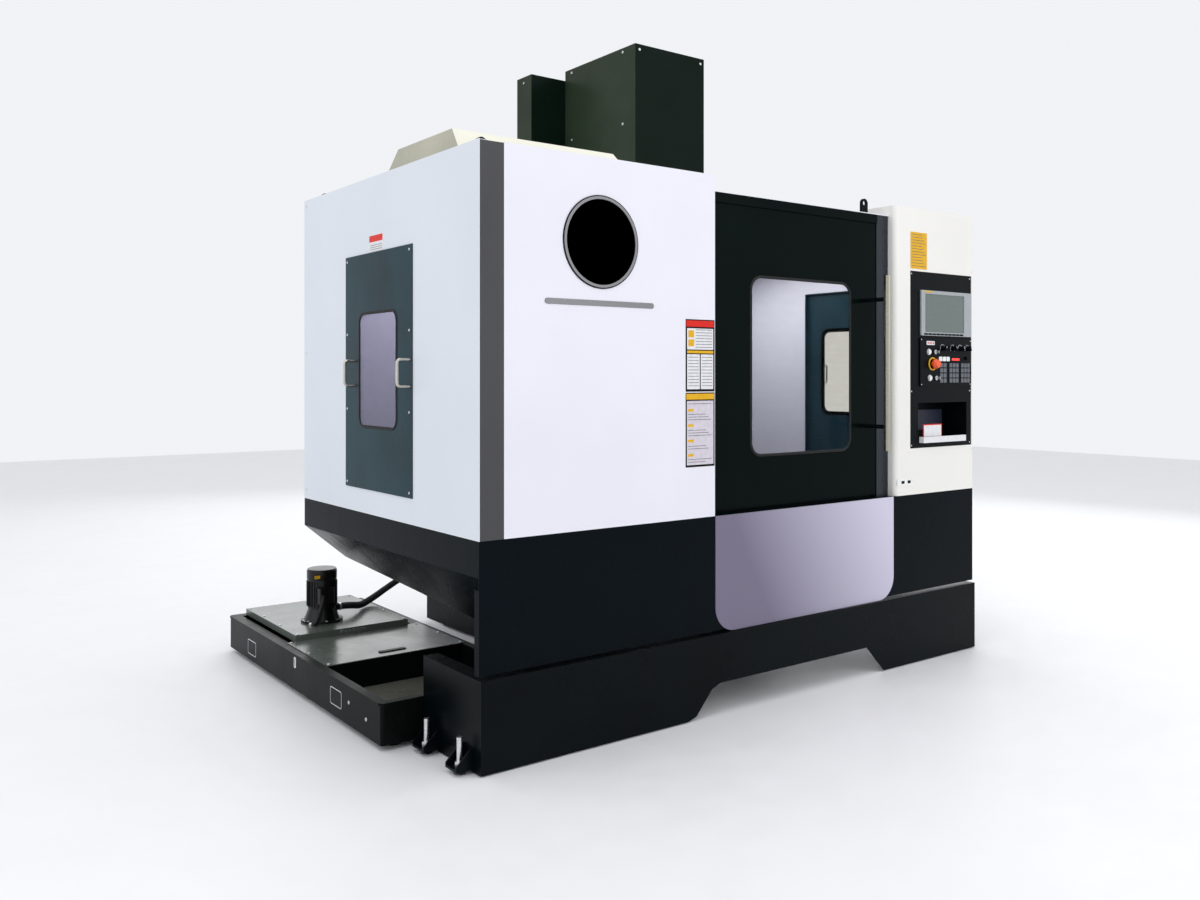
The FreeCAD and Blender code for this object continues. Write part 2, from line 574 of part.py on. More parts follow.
def guide_rails():
    """Two Y rails on the bed and two Z rails on the column's face."""
    y0 = Y_MOTOR_FACE + 10
    y_rails = [rail((SPINDLE_X + s, y0, BED_TOP), "y", COLUMN_Y[0] - 5 - y0) for s in
               (-Y_RAIL_SPREAD, Y_RAIL_SPREAD)]
    z_rails = [rail((SPINDLE_X + s, COLUMN_Y[0], RAIL_Z0), "z", COLUMN_TOP - 60 - RAIL_Z0) for s in
               (-Z_RAIL_SPREAD, Z_RAIL_SPREAD)]
    return y_rails + z_rails


def servo(face, half, length):
    """A servo motor drawn upright with its shaft face down at the given point: body, cap and connector."""
    x, y, z = face
    xs, ys, top = (x - half, x + half), (y - half, y + half), z + length
    body = rounded(box(xs, ys, (z, top - 30)), "z", half / 4)
    cap = rounded(box(grow(xs, -6), grow(ys, -6), (top - 31, top)), "z", half / 4)
    plug = rod(14, 22, (x, y + half - 2, z + length - 60), (0, 1, 0))
    return fuse(body, cap, plug)


def axis_motors():
    """The Y motor in the bed's pocket and the Z motor on the column."""
    z_motor = servo((SPINDLE_X, Z_SCREW_Y, COLUMN_TOP), 62, 220)
    y_motor = servo((0, 0, 0), 50, 118)
    y_motor.rotate(V(0, 0, 0), V(1, 0, 0), 90)
    y_motor.translate(V(SPINDLE_X, Y_MOTOR_FACE, SCREW_Z - 10))
    shaft = rod(JOURNAL_R + 0.5, 20, (SPINDLE_X, Y_MOTOR_FACE - 12, SCREW_Z), (0, 1, 0))
    return [cut(y_motor, shaft), z_motor]


def screw(at, along, thread, total, radius, journal=JOURNAL_R):
    """A ball screw: a long thread between two journals. thread gives its start and end along the screw."""
    x, y, z = at
    def point(d):
        return {"x": (x + d, y, z), "y": (x, y + d, z), "z": (x, y, z + d)}[along]
    axis = {"x": (1, 0, 0), "y": (0, 1, 0), "z": (0, 0, 1)}[along]
    core = rod(journal, total, at, axis)
    return fuse(core, rod(radius, thread[1] - thread[0], point(thread[0]), axis))


def saddle():
    """The saddle: a wide slab on carriages over the Y rails, with the X ways and the Y screw's nut."""
    slab_z = (SADDLE_TOP - SADDLE_SLAB, SADDLE_TOP)
    slab = box(SADDLE_X, grow(SADDLE_Y, -20), slab_z)
    pads = [box((SPINDLE_X + s - 55, SPINDLE_X + s + 55), SADDLE_Y, (SADDLE_PAD_Z, SADDLE_TOP)) for s in
            (-Y_RAIL_SPREAD, Y_RAIL_SPREAD)]
    nut_y = (SPINDLE_Y - 75, SPINDLE_Y + 35)
    nut = fuse(rod(NUT_R, nut_y[1] - nut_y[0], (SPINDLE_X, nut_y[0], SCREW_Z), (0, 1, 0)),
               box((SPINDLE_X - NUT_R, SPINDLE_X + NUT_R), nut_y, (SCREW_Z, slab_z[0] + 1)))
    x0, way_length = SADDLE_X[0] + 30, SADDLE_X[1] - SADDLE_X[0] - 60
    ways = [rail((x0, SPINDLE_Y + s, SADDLE_TOP), "x", way_length) for s in (-X_RAIL_SPREAD, X_RAIL_SPREAD)]
    blocks = [box((x0, x0 + 25), (SPINDLE_Y - 30, SPINDLE_Y + 30), (SADDLE_TOP, X_SCREW_Z + 15)) for x0 in
              (SADDLE_X[0] + 30, SADDLE_X[1] - 50)]
    body = fuse(slab, nut, *pads, *ways, *blocks)
    w = RAIL_W / 2 + SLIDE_FIT
    slot_z = (SADDLE_PAD_Z - 1, BED_TOP + RAIL_H + SLIDE_FIT)
    slots = [box((SPINDLE_X + s - w, SPINDLE_X + s + w), grow(SADDLE_Y, 1), slot_z)
             for s in (-Y_RAIL_SPREAD, Y_RAIL_SPREAD)]
    y_bore = rod(SCREW_R + SHAFT_FIT, 200, (SPINDLE_X, SPINDLE_Y - 120, SCREW_Z), (0, 1, 0))
    x_bore = rod(X_JOURNAL_R + SHAFT_FIT, way_length + 70, (SADDLE_X[0], SPINDLE_Y, X_SCREW_Z), (1, 0, 0))
    return cut(body, y_bore, x_bore, *slots)


def x_motor():
    motor = servo((0, 0, 0), 50, 130)
    motor.rotate(V(0, 0, 0), V(0, 1, 0), 90)
    motor.translate(V(SADDLE_X[1], SPINDLE_Y, X_SCREW_Z - 4))
    return cut(motor, rod(X_JOURNAL_R + 1, 12, (SADDLE_X[1] - 1, SPINDLE_Y, X_SCREW_Z), (1, 0, 0)))


def table():
    """The work table: a T-slotted slab on two carriage walls, with a nut for the X screw."""
    x = (SPINDLE_X - TABLE_L / 2, SPINDLE_X + TABLE_L / 2)
    y = (SPINDLE_Y - TABLE_W / 2, SPINDLE_Y + TABLE_W / 2)
    slab = box(x, y, (TABLE_TOP - TABLE_SLAB, TABLE_TOP))
    under = TABLE_TOP - TABLE_SLAB + 1
    walls = [box(x, (SPINDLE_Y + s - 40, SPINDLE_Y + s + 40), (SADDLE_TOP + PAD_GAP, under)) for s in
             (-X_RAIL_SPREAD, X_RAIL_SPREAD)]
    nut_y = (SPINDLE_Y - NUT_R, SPINDLE_Y + NUT_R)
    nut = box((SPINDLE_X - 55, SPINDLE_X + 55), nut_y, (SADDLE_TOP + 2, under))
    body = fuse(slab, nut, *walls)
    w = RAIL_W / 2 + SLIDE_FIT
    groove_z = (SADDLE_TOP, SADDLE_TOP + RAIL_H + SLIDE_FIT)
    grooves = [box(grow(x, 1), (SPINDLE_Y + s - w, SPINDLE_Y + s + w), groove_z)
               for s in (-X_RAIL_SPREAD, X_RAIL_SPREAD)]
    bore = rod(X_SCREW_R + SHAFT_FIT, 120, (SPINDLE_X - 60, SPINDLE_Y, X_SCREW_Z), (1, 0, 0))
    slots, floor = [], TABLE_TOP - SLOT_DEPTH
    for k in range(SLOT_COUNT):
        yc = SPINDLE_Y + (k - (SLOT_COUNT - 1) / 2) * SLOT_PITCH
        slots.append(box(grow(x, 1), (yc - SLOT_W / 2, yc + SLOT_W / 2), (floor, TABLE_TOP + 1)))
        head_y = (yc - SLOT_HEAD_W / 2, yc + SLOT_HEAD_W / 2)
        slots.append(box(grow(x, 1), head_y, (floor, floor + SLOT_HEAD_H)))
    return cut(body, bore, *grooves, *slots)


# ---------------------------------------------------------------- head
def spindle_head():
    """The head casting with its nose, back plate, carriages on the Z rails and the Z screw's nut."""
    body = box(HEAD_X, HEAD_Y, HEAD_Z)
    tall = HEAD_Z[1] - HEAD_Z[0]
    front = [e for e in body.Edges if abs(e.CenterOfMass.y - HEAD_Y[0]) < 1 and abs(e.Length - tall) < 1]
    body = body.makeChamfer(45, front)
    pocket = box(grow(HEAD_X, -35), (SPINDLE_Y + 120, HEAD_Y[1] - 40), (HEAD_Z[0] + 45, HEAD_Z[1] + 1))
    back_z, pad_y = (HEAD_Z[0] - 20, HEAD_Z[1] + 40), (HEAD_Y[1], COLUMN_Y[0] - PAD_GAP)
    reach = Z_RAIL_SPREAD + CARRIAGE_HALF
    plate = box((SPINDLE_X - reach, SPINDLE_X + reach), (HEAD_Y[1] - 30, HEAD_Y[1] + 12), back_z)
    pads = [box((SPINDLE_X + s - CARRIAGE_HALF, SPINDLE_X + s + CARRIAGE_HALF), pad_y, back_z)
            for s in (-Z_RAIL_SPREAD, Z_RAIL_SPREAD)]
    nut_z = (back_z[0] + 150, back_z[0] + 250)
    nut = box((SPINDLE_X - 50, SPINDLE_X + 50), (HEAD_Y[1], Z_SCREW_Y + 40), nut_z)
    w = RAIL_W / 2 + SLIDE_FIT
    slot_y = (COLUMN_Y[0] - RAIL_H - SLIDE_FIT, COLUMN_Y[0])
    slots = [box((SPINDLE_X + s - w, SPINDLE_X + s + w), slot_y, grow(back_z, 10))
             for s in (-Z_RAIL_SPREAD, Z_RAIL_SPREAD)]
    screw_bore = rod(SCREW_R + SHAFT_FIT, 200, (SPINDLE_X, Z_SCREW_Y, HEAD_Z[0] + 80), (0, 0, 1))
    bore = rod(SPINDLE_R + SHAFT_FIT, tall + 2, (SPINDLE_X, SPINDLE_Y, HEAD_Z[0] - 1), (0, 0, 1))
    body = fuse(body.cut(pocket), plate, nut, *pads)
    return cut(body, bore, screw_bore, *slots)


def spindle():
    """The turning spindle: a shaft with a nose, taper bore, drawbar bore and two drive keys."""
    x, y, z = SPINDLE_X, SPINDLE_Y, HEAD_Z[0]
    low = z - NOSE_H
    shaft = rod(SPINDLE_R, HEAD_Z[1] - z, (x, y, z - 1), (0, 0, 1))
    nose = rod(NOSE_R, NOSE_H - SLIDE_FIT, (x, y, low), (0, 0, 1))
    keys = [box((x + s * 32 - 8, x + s * 32 + 8), (y - 8, y + 8), (low - 8, low + 1)) for s in (-1, 1)]
    taper = Part.makeCone(TAPER_R, TAPER_END_R, TAPER_DEPTH, V(x, y, low), V(0, 0, 1))
    drawbar = rod(DRAWBAR_R, HEAD_Z[1], (x, y, low - 1), (0, 0, 1))
    return cut(fuse(shaft, nose, *keys), taper, drawbar)


def spindle_motor():
    """The spindle motor on the head, with cooling ribs and a fan cowl."""
    x, y, z = SPINDLE_X, SPINDLE_Y, HEAD_Z[1]
    half, top = MOTOR_HALF, z + MOTOR_H
    body = rounded(box((x - half, x + half), (y - half, y + half), (z, top)), "z", 20)
    ribs = [box((x + s * half - 6, x + s * half + 6), (y + d - 8, y + d + 8), (z + 20, top - 20))
            for s in (-1, 1) for d in (-75, -45, -15, 15, 45, 75)]
    cowl = rod(half - 10, 60, (x, y, top - 1), (0, 0, 1))
    return fuse(body.cut(rod(20, 30, (x, y, z - 1), (0, 0, 1))), cowl, *ribs)


def head_covers():
    """The sheet cover round the motor, and the way cover behind it, open at the back."""
    z = (HEAD_Z[1], COVER_TOP)
    shell = box(COVER_X, COVER_Y, z).cut(box(grow(COVER_X, -SHEET), (COVER_Y[0] + SHEET, COVER_Y[1] + 1),
                                            (z[0] + SHEET, z[1] - SHEET)))
    mouth = box(grow(COVER_X, -46), (COVER_Y[0] + 40, COVER_Y[1] + 1), (z[0] - 1, z[0] + 2 * SHEET))
    way = box(WAY_X, WAY_Y, WAY_Z).cut(box(grow(WAY_X, -SHEET), (WAY_Y[0] + SHEET, WAY_Y[1] + 1),
                                           (WAY_Z[0] - 1, WAY_Z[1] - SHEET)))
    return [shell.cut(mouth), way]


# ---------------------------------------------------------------- tool changer
def magazine_frame():
    """The bracket from the column that carries the magazine's axle, and the arm's cam box."""
    x0 = MAGAZINE_X + 100
    half = CAM_HALF
    y0, y1, z = SPINDLE_Y - half, COLUMN_Y[0] + 120, MAGAZINE_Z
    plate = box((x0, x0 + 90), (y0, y1), (z - 90, z + 90))
    foot = box((x0, COLUMN_X[0]), (y1 - 100, y1), (z - 140, z + 140))
    cam_box = box((ARM_PIVOT_X - half, ARM_PIVOT_X + half), (y0, y0 + 2 * half), (ARM_Z[1] + 30, z + 150))
    neck = box((x0 + 80, ARM_PIVOT_X - half + 10), (y0 + 20, y0 + 2 * half - 20), (z - 80, z + 80))
    axle = rod(AXLE_R, 130, (x0 - 120, SPINDLE_Y, MAGAZINE_Z), (1, 0, 0))
    bore = rod(ARM_SHAFT_R + SHAFT_FIT, 120, (ARM_PIVOT_X, SPINDLE_Y, ARM_Z[1]), (0, 0, 1))
    return cut(fuse(plate, foot, cam_box, neck, axle), bore)


def tool_magazine():
    """The drum: a ring of tool pots round a disc on a hub."""
    x, y, z = MAGAZINE_X, SPINDLE_Y, MAGAZINE_Z
    disc = rod(POT_CIRCLE_R + POT_R - 6, DRUM_T, (x - DRUM_T / 2, y, z), (1, 0, 0))
    hub = rod(HUB_R, 90, (x - 15, y, z), (1, 0, 0))
    pots = []
    for k in range(POTS):
        a = 2 * math.pi * k / POTS
        py, pz = y + POT_CIRCLE_R * math.cos(a), z + POT_CIRCLE_R * math.sin(a)
        pots.append(rod(POT_R, POT_L, (x - 60, py, pz), (1, 0, 0)))
        pots.append(Part.makeCone(POT_R - 6, 12, 40, V(x - 60, py, pz), V(-1, 0, 0)))
    body = fuse(disc, hub, *pots)
    return body.cut(rod(AXLE_R + SHAFT_FIT, 200, (x - 30, y, z), (1, 0, 0)))


def change_arm():
    """The double arm on its shaft, with a half-round gripper at each end, parked along Y."""
    x, y = ARM_PIVOT_X, SPINDLE_Y
    reach = SPINDLE_X - ARM_PIVOT_X
    bar = box((x - 30, x + 30), (y - reach + 10, y + reach - 10), ARM_Z)
    ends = [rod(ARM_GRIP_R + 16, ARM_Z[1] - ARM_Z[0], (x, y + s * reach, ARM_Z[0]), (0, 0, 1))
            for s in (-1, 1)]
    mouths = [rod(ARM_GRIP_R, 60, (x, y + s * reach, ARM_Z[0] - 5), (0, 0, 1)) for s in (-1, 1)]
    ways_in = [box(side, (y + s * reach - ARM_GRIP_R, y + s * reach + ARM_GRIP_R), grow(ARM_Z, 5))
               for s, side in ((-1, (x, x + 80)), (1, (x - 80, x)))]
    shaft = rod(ARM_SHAFT_R, 90, (x, y, ARM_Z[0] + 2), (0, 0, 1))
    return fuse(cut(fuse(bar, *ends), *mouths, *ways_in), shaft)


# ---------------------------------------------------------------- control box
def control_box():
    """The operator's box: a sheet shell with a rounded corner and a cut-out for its fascia."""
    z = (SILL_Z, CTRL_TOP)
    body = box(CTRL_X, (0, CTRL_DEPTH), z)
    edge = [e for e in body.Edges if abs(e.CenterOfMass.x - CTRL_X[0]) < 1 and abs(e.CenterOfMass.y) < 1
            and abs(e.Length - (z[1] - z[0])) < 1]
    body = body.makeFillet(CTRL_CORNER_R, edge)
    inside = box(grow(CTRL_X, -SHEET), (SHEET, CTRL_DEPTH - SHEET), grow(z, -SHEET))
    corner = box((CTRL_X[0] + SHEET, CTRL_X[0] + CTRL_CORNER_R), (SHEET, CTRL_CORNER_R), grow(z, -SHEET))
    return cut(body, inside.cut(corner), box(FASCIA_X, (-1, SHEET + 1), FASCIA_Z))


def front_hole(x, z, rim, y=(0, 20)):
    return box(grow(x, -rim), y, grow(z, -rim))


def control_fascia():
    """The black plate behind the cut-out: holes for the two units, a niche, and a tray lip on it."""
    y = (SHEET, 2 * SHEET)
    plate = box(grow(FASCIA_X, FASCIA_LAP), y, grow(FASCIA_Z, 10))
    niche = box(NICHE_X, (SHEET, SHEET + NICHE_DEPTH), NICHE_Z)
    hollow = box(grow(NICHE_X, -SHEET), (0, NICHE_DEPTH), grow(NICHE_Z, -SHEET))
    rim = UNIT_RIM - 2
    units = [front_hole(DISPLAY_X, DISPLAY_Z, rim), front_hole(PANEL_X, PANEL_Z, rim)]
    body = cut(fuse(plate, niche), hollow, *units)
    lip_x, lip_z = (NICHE_X[0] + 12, NICHE_X[1] - 44), (NICHE_Z[0] - 6, NICHE_Z[0] + 22)
    lip = box(lip_x, (-LIP_OUT, SHEET), lip_z)
    tray = lip.cut(box(grow(lip_x, -SHEET), (SHEET - LIP_OUT, SHEET + 1), (lip_z[0] + SHEET, lip_z[1] + 8)))
    return [body, tray]


def unit(x, z, proud, deep):
    """A panel unit: a bezel on the fascia's face and a box behind it through the hole."""
    return fuse(box(x, (-proud, SHEET), z), box(grow(x, -UNIT_RIM), (SHEET - 1, deep), grow(z, -UNIT_RIM)))


def display_unit():
    """The screen unit, with its screen set back in the bezel."""
    screen_x = (DISPLAY_X[0] + 28, DISPLAY_X[1] - 58)
    screen = box(screen_x, (-BEZEL_OUT - 1, -BEZEL_OUT + 3), grow(DISPLAY_Z, -16))
    return rounded(unit(DISPLAY_X, DISPLAY_Z, BEZEL_OUT, 70).cut(screen), "y", 1.5)


CONTROL_BORES = ([(ESTOP_AT, 10.0)] + [((x, KNOB_Z), 4.0) for x in KNOBS.values()]
                 + [(at, 7.0) for at in BUTTONS.values()] + [(at, 5.0) for at in KEYS.values()])


def operator_panel():
    """The key panel: a hollow unit, bored for every knob, key and button."""
    body = unit(PANEL_X, PANEL_Z, PANEL_OUT, 50)
    body = body.cut(box(grow(PANEL_X, -UNIT_RIM - 3), (SHEET, 47), grow(PANEL_Z, -UNIT_RIM - 3)))
    bores = [rod(r + SHAFT_FIT, 12, (x, -6, z), (0, 1, 0)) for (x, z), r in CONTROL_BORES]
    return cut(body, *bores)


def turned(at, steps):
    """A body turned about Y: steps are (y from, y to, radius)."""
    x, z = at
    return fuse(*[rod(r, b - a, (x, a, z), (0, 1, 0)) for a, b, r in steps])


def estop_button():
    """The emergency stop's mushroom head on its stem."""
    face = -PANEL_OUT
    head = Part.makeCone(17, 23, 12, V(ESTOP_AT[0], face - 34, ESTOP_AT[1]), V(0, 1, 0))
    steps = [(face - 8, 14, 10.0), (face - 22.5, face - 14, 23.0), (face - 14.5, face - 7, 14.0)]
    stem = turned(ESTOP_AT, steps)
    return fuse(head, stem)


def knob(x):
    """A small pointer knob on its spindle."""
    face = -PANEL_OUT
    body = turned((x, KNOB_Z), [(face - 18, face - 0.5, 11.0), (face - 1, 12, 4.0)])
    pointer = box((x - 3, x + 3), (face - 24, face - 17), (KNOB_Z - 10, KNOB_Z + 10))
    return fuse(body, pointer)


def push_button(at):
    face = -PANEL_OUT
    return turned(at, [(face - 9, face - 5, 10.0), (face - 5.5, 14, 7.0)])


def key_switch(at):
    face = -PANEL_OUT
    body = turned(at, [(face - 7, face - 0.5, 10.0), (face - 1, 12, 5.0)])
    return fuse(body, box((at[0] - 1.5, at[0] + 1.5), (face - 26, face - 6), (at[1] - 6, at[1] + 6)))


# ---------------------------------------------------------------- electrical cabinet
CAB_PIN = (CAB_X[1] + 6, CAB_Y[1] + 12)
CAB_HINGE_Z = (CAB_Z[0] + 200, CAB_Z[1] - 280)
KNUCKLE_H = 40.0


def electric_cabinet():
    """The cabinet at the back: a shell open to the rear, its gear, mounts to the bed and hinge pins."""
    x, y, z = CAB_X, CAB_Y, CAB_Z
    inner = box(grow(x, -SHEET), (y[0] + SHEET, y[1] - SHEET), grow(z, -SHEET))
    mouth = box(grow(x, -CAB_RIM), (y[1] - 2 * SHEET, y[1] + 1), grow(z, -CAB_RIM))
    shell = cut(box(x, y, z), inner, mouth)
    mounts = [box((BED_X[1], x[0]), (y0, y0 + 100), (z[0], z[0] + 150)) for y0 in (y[0] + 40, y[1] - 140)]
    px, py = CAB_PIN
    hinges = []
    for z0 in CAB_HINGE_Z:
        hinges += [rod(CAB_KNUCKLE_R, KNUCKLE_H, (px, py, z0), (0, 0, 1)),
                   rod(CAB_PIN_R, 2 * KNUCKLE_H, (px, py, z0), (0, 0, 1)),
                   box((x[1] - 3, px + 3), (y[1] - 6, py), (z0, z0 + KNUCKLE_H))]
    back = y[0] + SHEET
    gear = [box((x[0] + 60, x[1] - 60), (back, back + 4), (z[0] + 60, z[1] - 60))]
    for k in range(4):
        x0 = x[0] + 100 + k * 150
        gear.append(box((x0, x0 + 120), (back + 3, back + 200), (z[1] - 560, z[1] - 160)))
    for k in range(8):
        x0 = x[0] + 100 + k * 75
        gear.append(box((x0, x0 + 60), (back + 3, back + 90), (z[1] - 800, z[1] - 700)))
    gear.append(box((x[0] + 120, x[0] + 400), (back + 3, back + 220), (z[0] + 120, z[0] + 420)))
    return [fuse(shell, *mounts, *hinges), fuse(*gear)]


def cabinet_door():
    """The cabinet's door: a folded leaf with two knuckles over the pins and a latch grip."""
    y = (CAB_Y[1], CAB_Y[1] + CAB_DOOR_T)
    x, z = (CAB_X[0], CAB_X[1] - 4), CAB_Z
    leaf = box(x, y, z).cut(box(grow(x, -SHEET), (y[0] - 1, y[1] - SHEET), grow(z, -SHEET)))
    px, py = CAB_PIN
    arms = []
    for z0 in CAB_HINGE_Z:
        z1 = (z0 + KNUCKLE_H + SLIDE_FIT, z0 + 2 * KNUCKLE_H)
        arms += [rod(CAB_KNUCKLE_R, z1[1] - z1[0], (px, py, z1[0]), (0, 0, 1)),
                 box((x[1] - 2, px), (py - 4, py + 4), z1)]
    grip = box((x[0] + 40, x[0] + 62), (y[1] - 1, y[1] + 26), (z[0] + 760, z[0] + 900))
    bores = [rod(CAB_PIN_R + SHAFT_FIT, 2 * KNUCKLE_H + 2, (px, py, z0 - 1), (0, 0, 1))
             for z0 in CAB_HINGE_Z]
    return cut(fuse(leaf, *arms, grip), *bores)


# ---------------------------------------------------------------- coolant tank
def coolant_tank():
    """The sheet tank under the left side: an open chip tray in front, a closed tank behind, on pads."""
    x, y, z = TANK_X, TANK_Y, TANK_Z
    w, body_x = TANK_WALL, (TANK_X[0] + TANK_HEM, TANK_X[1])
    tray = box((x[0] + TANK_RIM, x[1] - TANK_RIM), (y[0] + TANK_RIM, TRAY_Y1), (TRAY_FLOOR, z[1] + 1))
    under_tray = box(grow(body_x, -w), (y[0] + w, TRAY_Y1), (z[0] + w, TRAY_FLOOR - w))
    hollow = box(grow(body_x, -w), (TRAY_Y1 + w, y[1] - w), (z[0] + w, z[1] - w))
    mouth_x, mouth_y = grow(x, -TANK_RIM - 12), (TRAY_Y1 + 20, y[1] - TANK_RIM - 12)
    mouth = box(mouth_x, mouth_y, (z[1] - 2 * w, z[1] + 1))
    pads = [rod(40, z[0] + 1, (px, py, 0), (0, 0, 1)) for px in (x[0] + 80, x[1] - 80)
            for py in (y[0] + 80, (y[0] + y[1]) / 2, y[1] - 80)]
    outer = rounded(box(body_x, y, z), "z", 12)
    hem = box((x[0], body_x[0] + 1), grow(y, -14), (z[1] - TANK_HEM_H, z[1]))
    return fuse(cut(outer, tray, under_tray, hollow, mouth), hem, *pads)


def tank_lids():
    """The flat front lid and the raised rear lid, with a hole for the pump's pipe."""
    top = TANK_Z[1]
    front = box((TANK_X[0] + TANK_RIM, TANK_X[1] - TANK_RIM + 15), FRONT_LID_Y, (top, top + SHEET))
    rear = box(REAR_LID_X, REAR_LID_Y, (top, REAR_LID_TOP))
    rear = rear.cut(box(grow(REAR_LID_X, -SHEET), grow(REAR_LID_Y, -SHEET), (top - 1, REAR_LID_TOP - SHEET)))
    return [front, rear.cut(rod(32, 80, (PUMP_X, PUMP_Y, top), (0, 0, 1)))]


PUMP_OUTLET_Z = REAR_LID_TOP + 45
HOSE_START = (PUMP_X + PUMP_R + 18, PUMP_Y + 30, PUMP_OUTLET_Z)
HOSE_END = (BED_X[0] - 12, 1800.0, 400.0)


def coolant_pump():
    """The upright coolant pump: flange, neck, motor barrel with ribs, suction pipe and side outlet."""
    x, y, z = PUMP_X, PUMP_Y, REAR_LID_TOP
    flange = rod(92, 10, (x, y, z), (0, 0, 1))
    neck = Part.makeCone(78, 56, 60, V(x, y, z + 9), V(0, 0, 1))
    barrel = rod(PUMP_R, PUMP_TOP - z - 66, (x, y, z + 66), (0, 0, 1))
    ribs = [rod(PUMP_R - 4, 8, (x, y, z + 60), (0, 0, 1))]
    box_side = rounded(box((x - 45, x + 25), (y - PUMP_R - 26, y - 20), (z + 90, z + 160)), "z", 8)
    pipe = rod(28, 110, (x, y, z - 109), (0, 0, 1))
    outlet = rod(HOSE_R + 3, HOSE_START[0] - x, (x, HOSE_START[1], PUMP_OUTLET_Z), (1, 0, 0))
    return fuse(flange, neck, barrel, box_side, pipe, outlet, *ribs)


def coolant_hose():
    """The delivery hose from the pump's outlet, over the lid's back corner, to a union on the bed."""
    x, y, z = HOSE_START
    lid = REAR_LID_TOP + HOSE_R + 2
    points = [HOSE_START, (x + 60, y, z), (x + 130, y + 40, lid + 8), (x + 190, y + 110, lid + 2),
              (x + 255, y + 155, lid + 12), (x + 340, y + 180, z + 20), (x + 440, y + 180, z + 70),
              (x + 540, y + 179, z + 125), (HOSE_END[0] - 60, HOSE_END[1], HOSE_END[2]), HOSE_END]
    union = rod(HOSE_R + 5, BED_X[0] - HOSE_END[0], HOSE_END, (1, 0, 0))
    return [bent_rod(points, HOSE_R, 0), union]


def work_light():
    """Two enclosed light bars under the roof, on the door's side."""
    bars = []
    for x0 in (560.0, 1420.0):
        bars.append(rounded(box((x0, x0 + 560), (150, 205), (ROOF_Z - 38, ROOF_Z)), "x", 9))
    return bars


def build():
    put("base_plinth", *base_plinth())
    put("levelling_bolts", *levelling_bolts())
    put("lower_guards", *lower_guards())
    put("apron_panel", apron_panel())
    put("chip_pans", *chip_pans())
    put("front_left_panel", front_left_panel())
    put("corner_strip", corner_strip())
    put("left_side_panel", side_panel(0))
    put("right_side_panel", mirrored(side_panel(CTRL_DEPTH)))
    put("rear_panel", *rear_panel())
    put("roof_panel", roof_panel())
    put("roof_hatch", roof_hatch())
    put("lifting_lugs", *lifting_lugs())
    put("door_tracks", *door_tracks())
    put("door_panel", door_panel())
    put("door_window", door_window())
    put("door_handle", door_handle())
    put("left_cover", side_cover())
    put("left_window", side_window())
    put("left_cover_handles", *bow_handles())
    put("right_cover", mirrored(side_cover()))
    put("right_window", mirrored(side_window()))
    put("right_cover_handles", *[mirrored(b) for b in bow_handles()])
    put("bed", bed())
    put("column", column())
    put("guide_rails", *guide_rails())
    put("axis_motors", *axis_motors())
    put("saddle", saddle())
    put("x_motor", x_motor())
    put("table", table())
    y0 = Y_MOTOR_FACE - 10
    y_total = COLUMN_Y[0] - 4 - y0
    put("y_screw", screw((SPINDLE_X, y0, SCREW_Z), "y", (37, y_total - 22), y_total, SCREW_R))
    x0 = SADDLE_X[0] + 30
    x_total = SADDLE_X[1] + 8 - x0
    thread = (27, SADDLE_X[1] - 52 - x0)
    put("x_screw", screw((x0, SPINDLE_Y, X_SCREW_Z), "x", thread, x_total, X_SCREW_R, X_JOURNAL_R))
    z0 = CHANNEL_Z0 + 5
    thread = (22, COLUMN_TOP - 32 - z0)
    put("z_screw", screw((SPINDLE_X, Z_SCREW_Y, z0), "z", thread, COLUMN_TOP - 2 - z0, SCREW_R))
    put("spindle_head", spindle_head())
    put("spindle", spindle())
    put("spindle_motor", spindle_motor())
    put("head_covers", *head_covers())
    put("magazine_frame", magazine_frame())
    put("tool_magazine", tool_magazine())
    put("change_arm", change_arm())
    put("control_box", control_box())
    put("control_fascia", *control_fascia())
    put("display_unit", display_unit())
    put("operator_panel", operator_panel())
    put("estop_button", estop_button())
    for name, x in KNOBS.items():
        put(name, knob(x))
    for name, at in BUTTONS.items():
        put(name, push_button(at))
    for name, at in KEYS.items():
        put(name, key_switch(at))
    put("electric_cabinet", *electric_cabinet())
    put("cabinet_door", cabinet_door())
    put("coolant_tank", coolant_tank())
    put("tank_lids", *tank_lids())
    put("coolant_pump", coolant_pump())
    put("coolant_hose", *coolant_hose())
    put("work_light", *work_light())


build()
os.makedirs("parts", exist_ok=True)
for name, shape in PARTS.items():
    shape.exportStep("parts/" + name + ".step")
whole = Part.makeCompound(list(PARTS.values())).BoundBox
print(len(PARTS), "nodes; size", round(whole.XLength), round(whole.YLength), round(whole.ZLength),
      "centre", round(whole.Center.x, 1), round(whole.Center.y, 1), "low z", round(whole.ZMin, 2))
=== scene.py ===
# %% [markdown]
# # A vertical machining centre: looks around a fixed CAD frame
# The castings, sheets, joints and sizes come packed, as a frame that is never moved. This
# notebook gives each piece its finish and adds what is too fine for the frame: gaskets, screws,
# keys, plates, louvers, conduits and the coolant hose. Every new piece is a surface worked out
# with numpy, because a formula for a shape is short, exact and easy to change.

# %% load the frame
import math

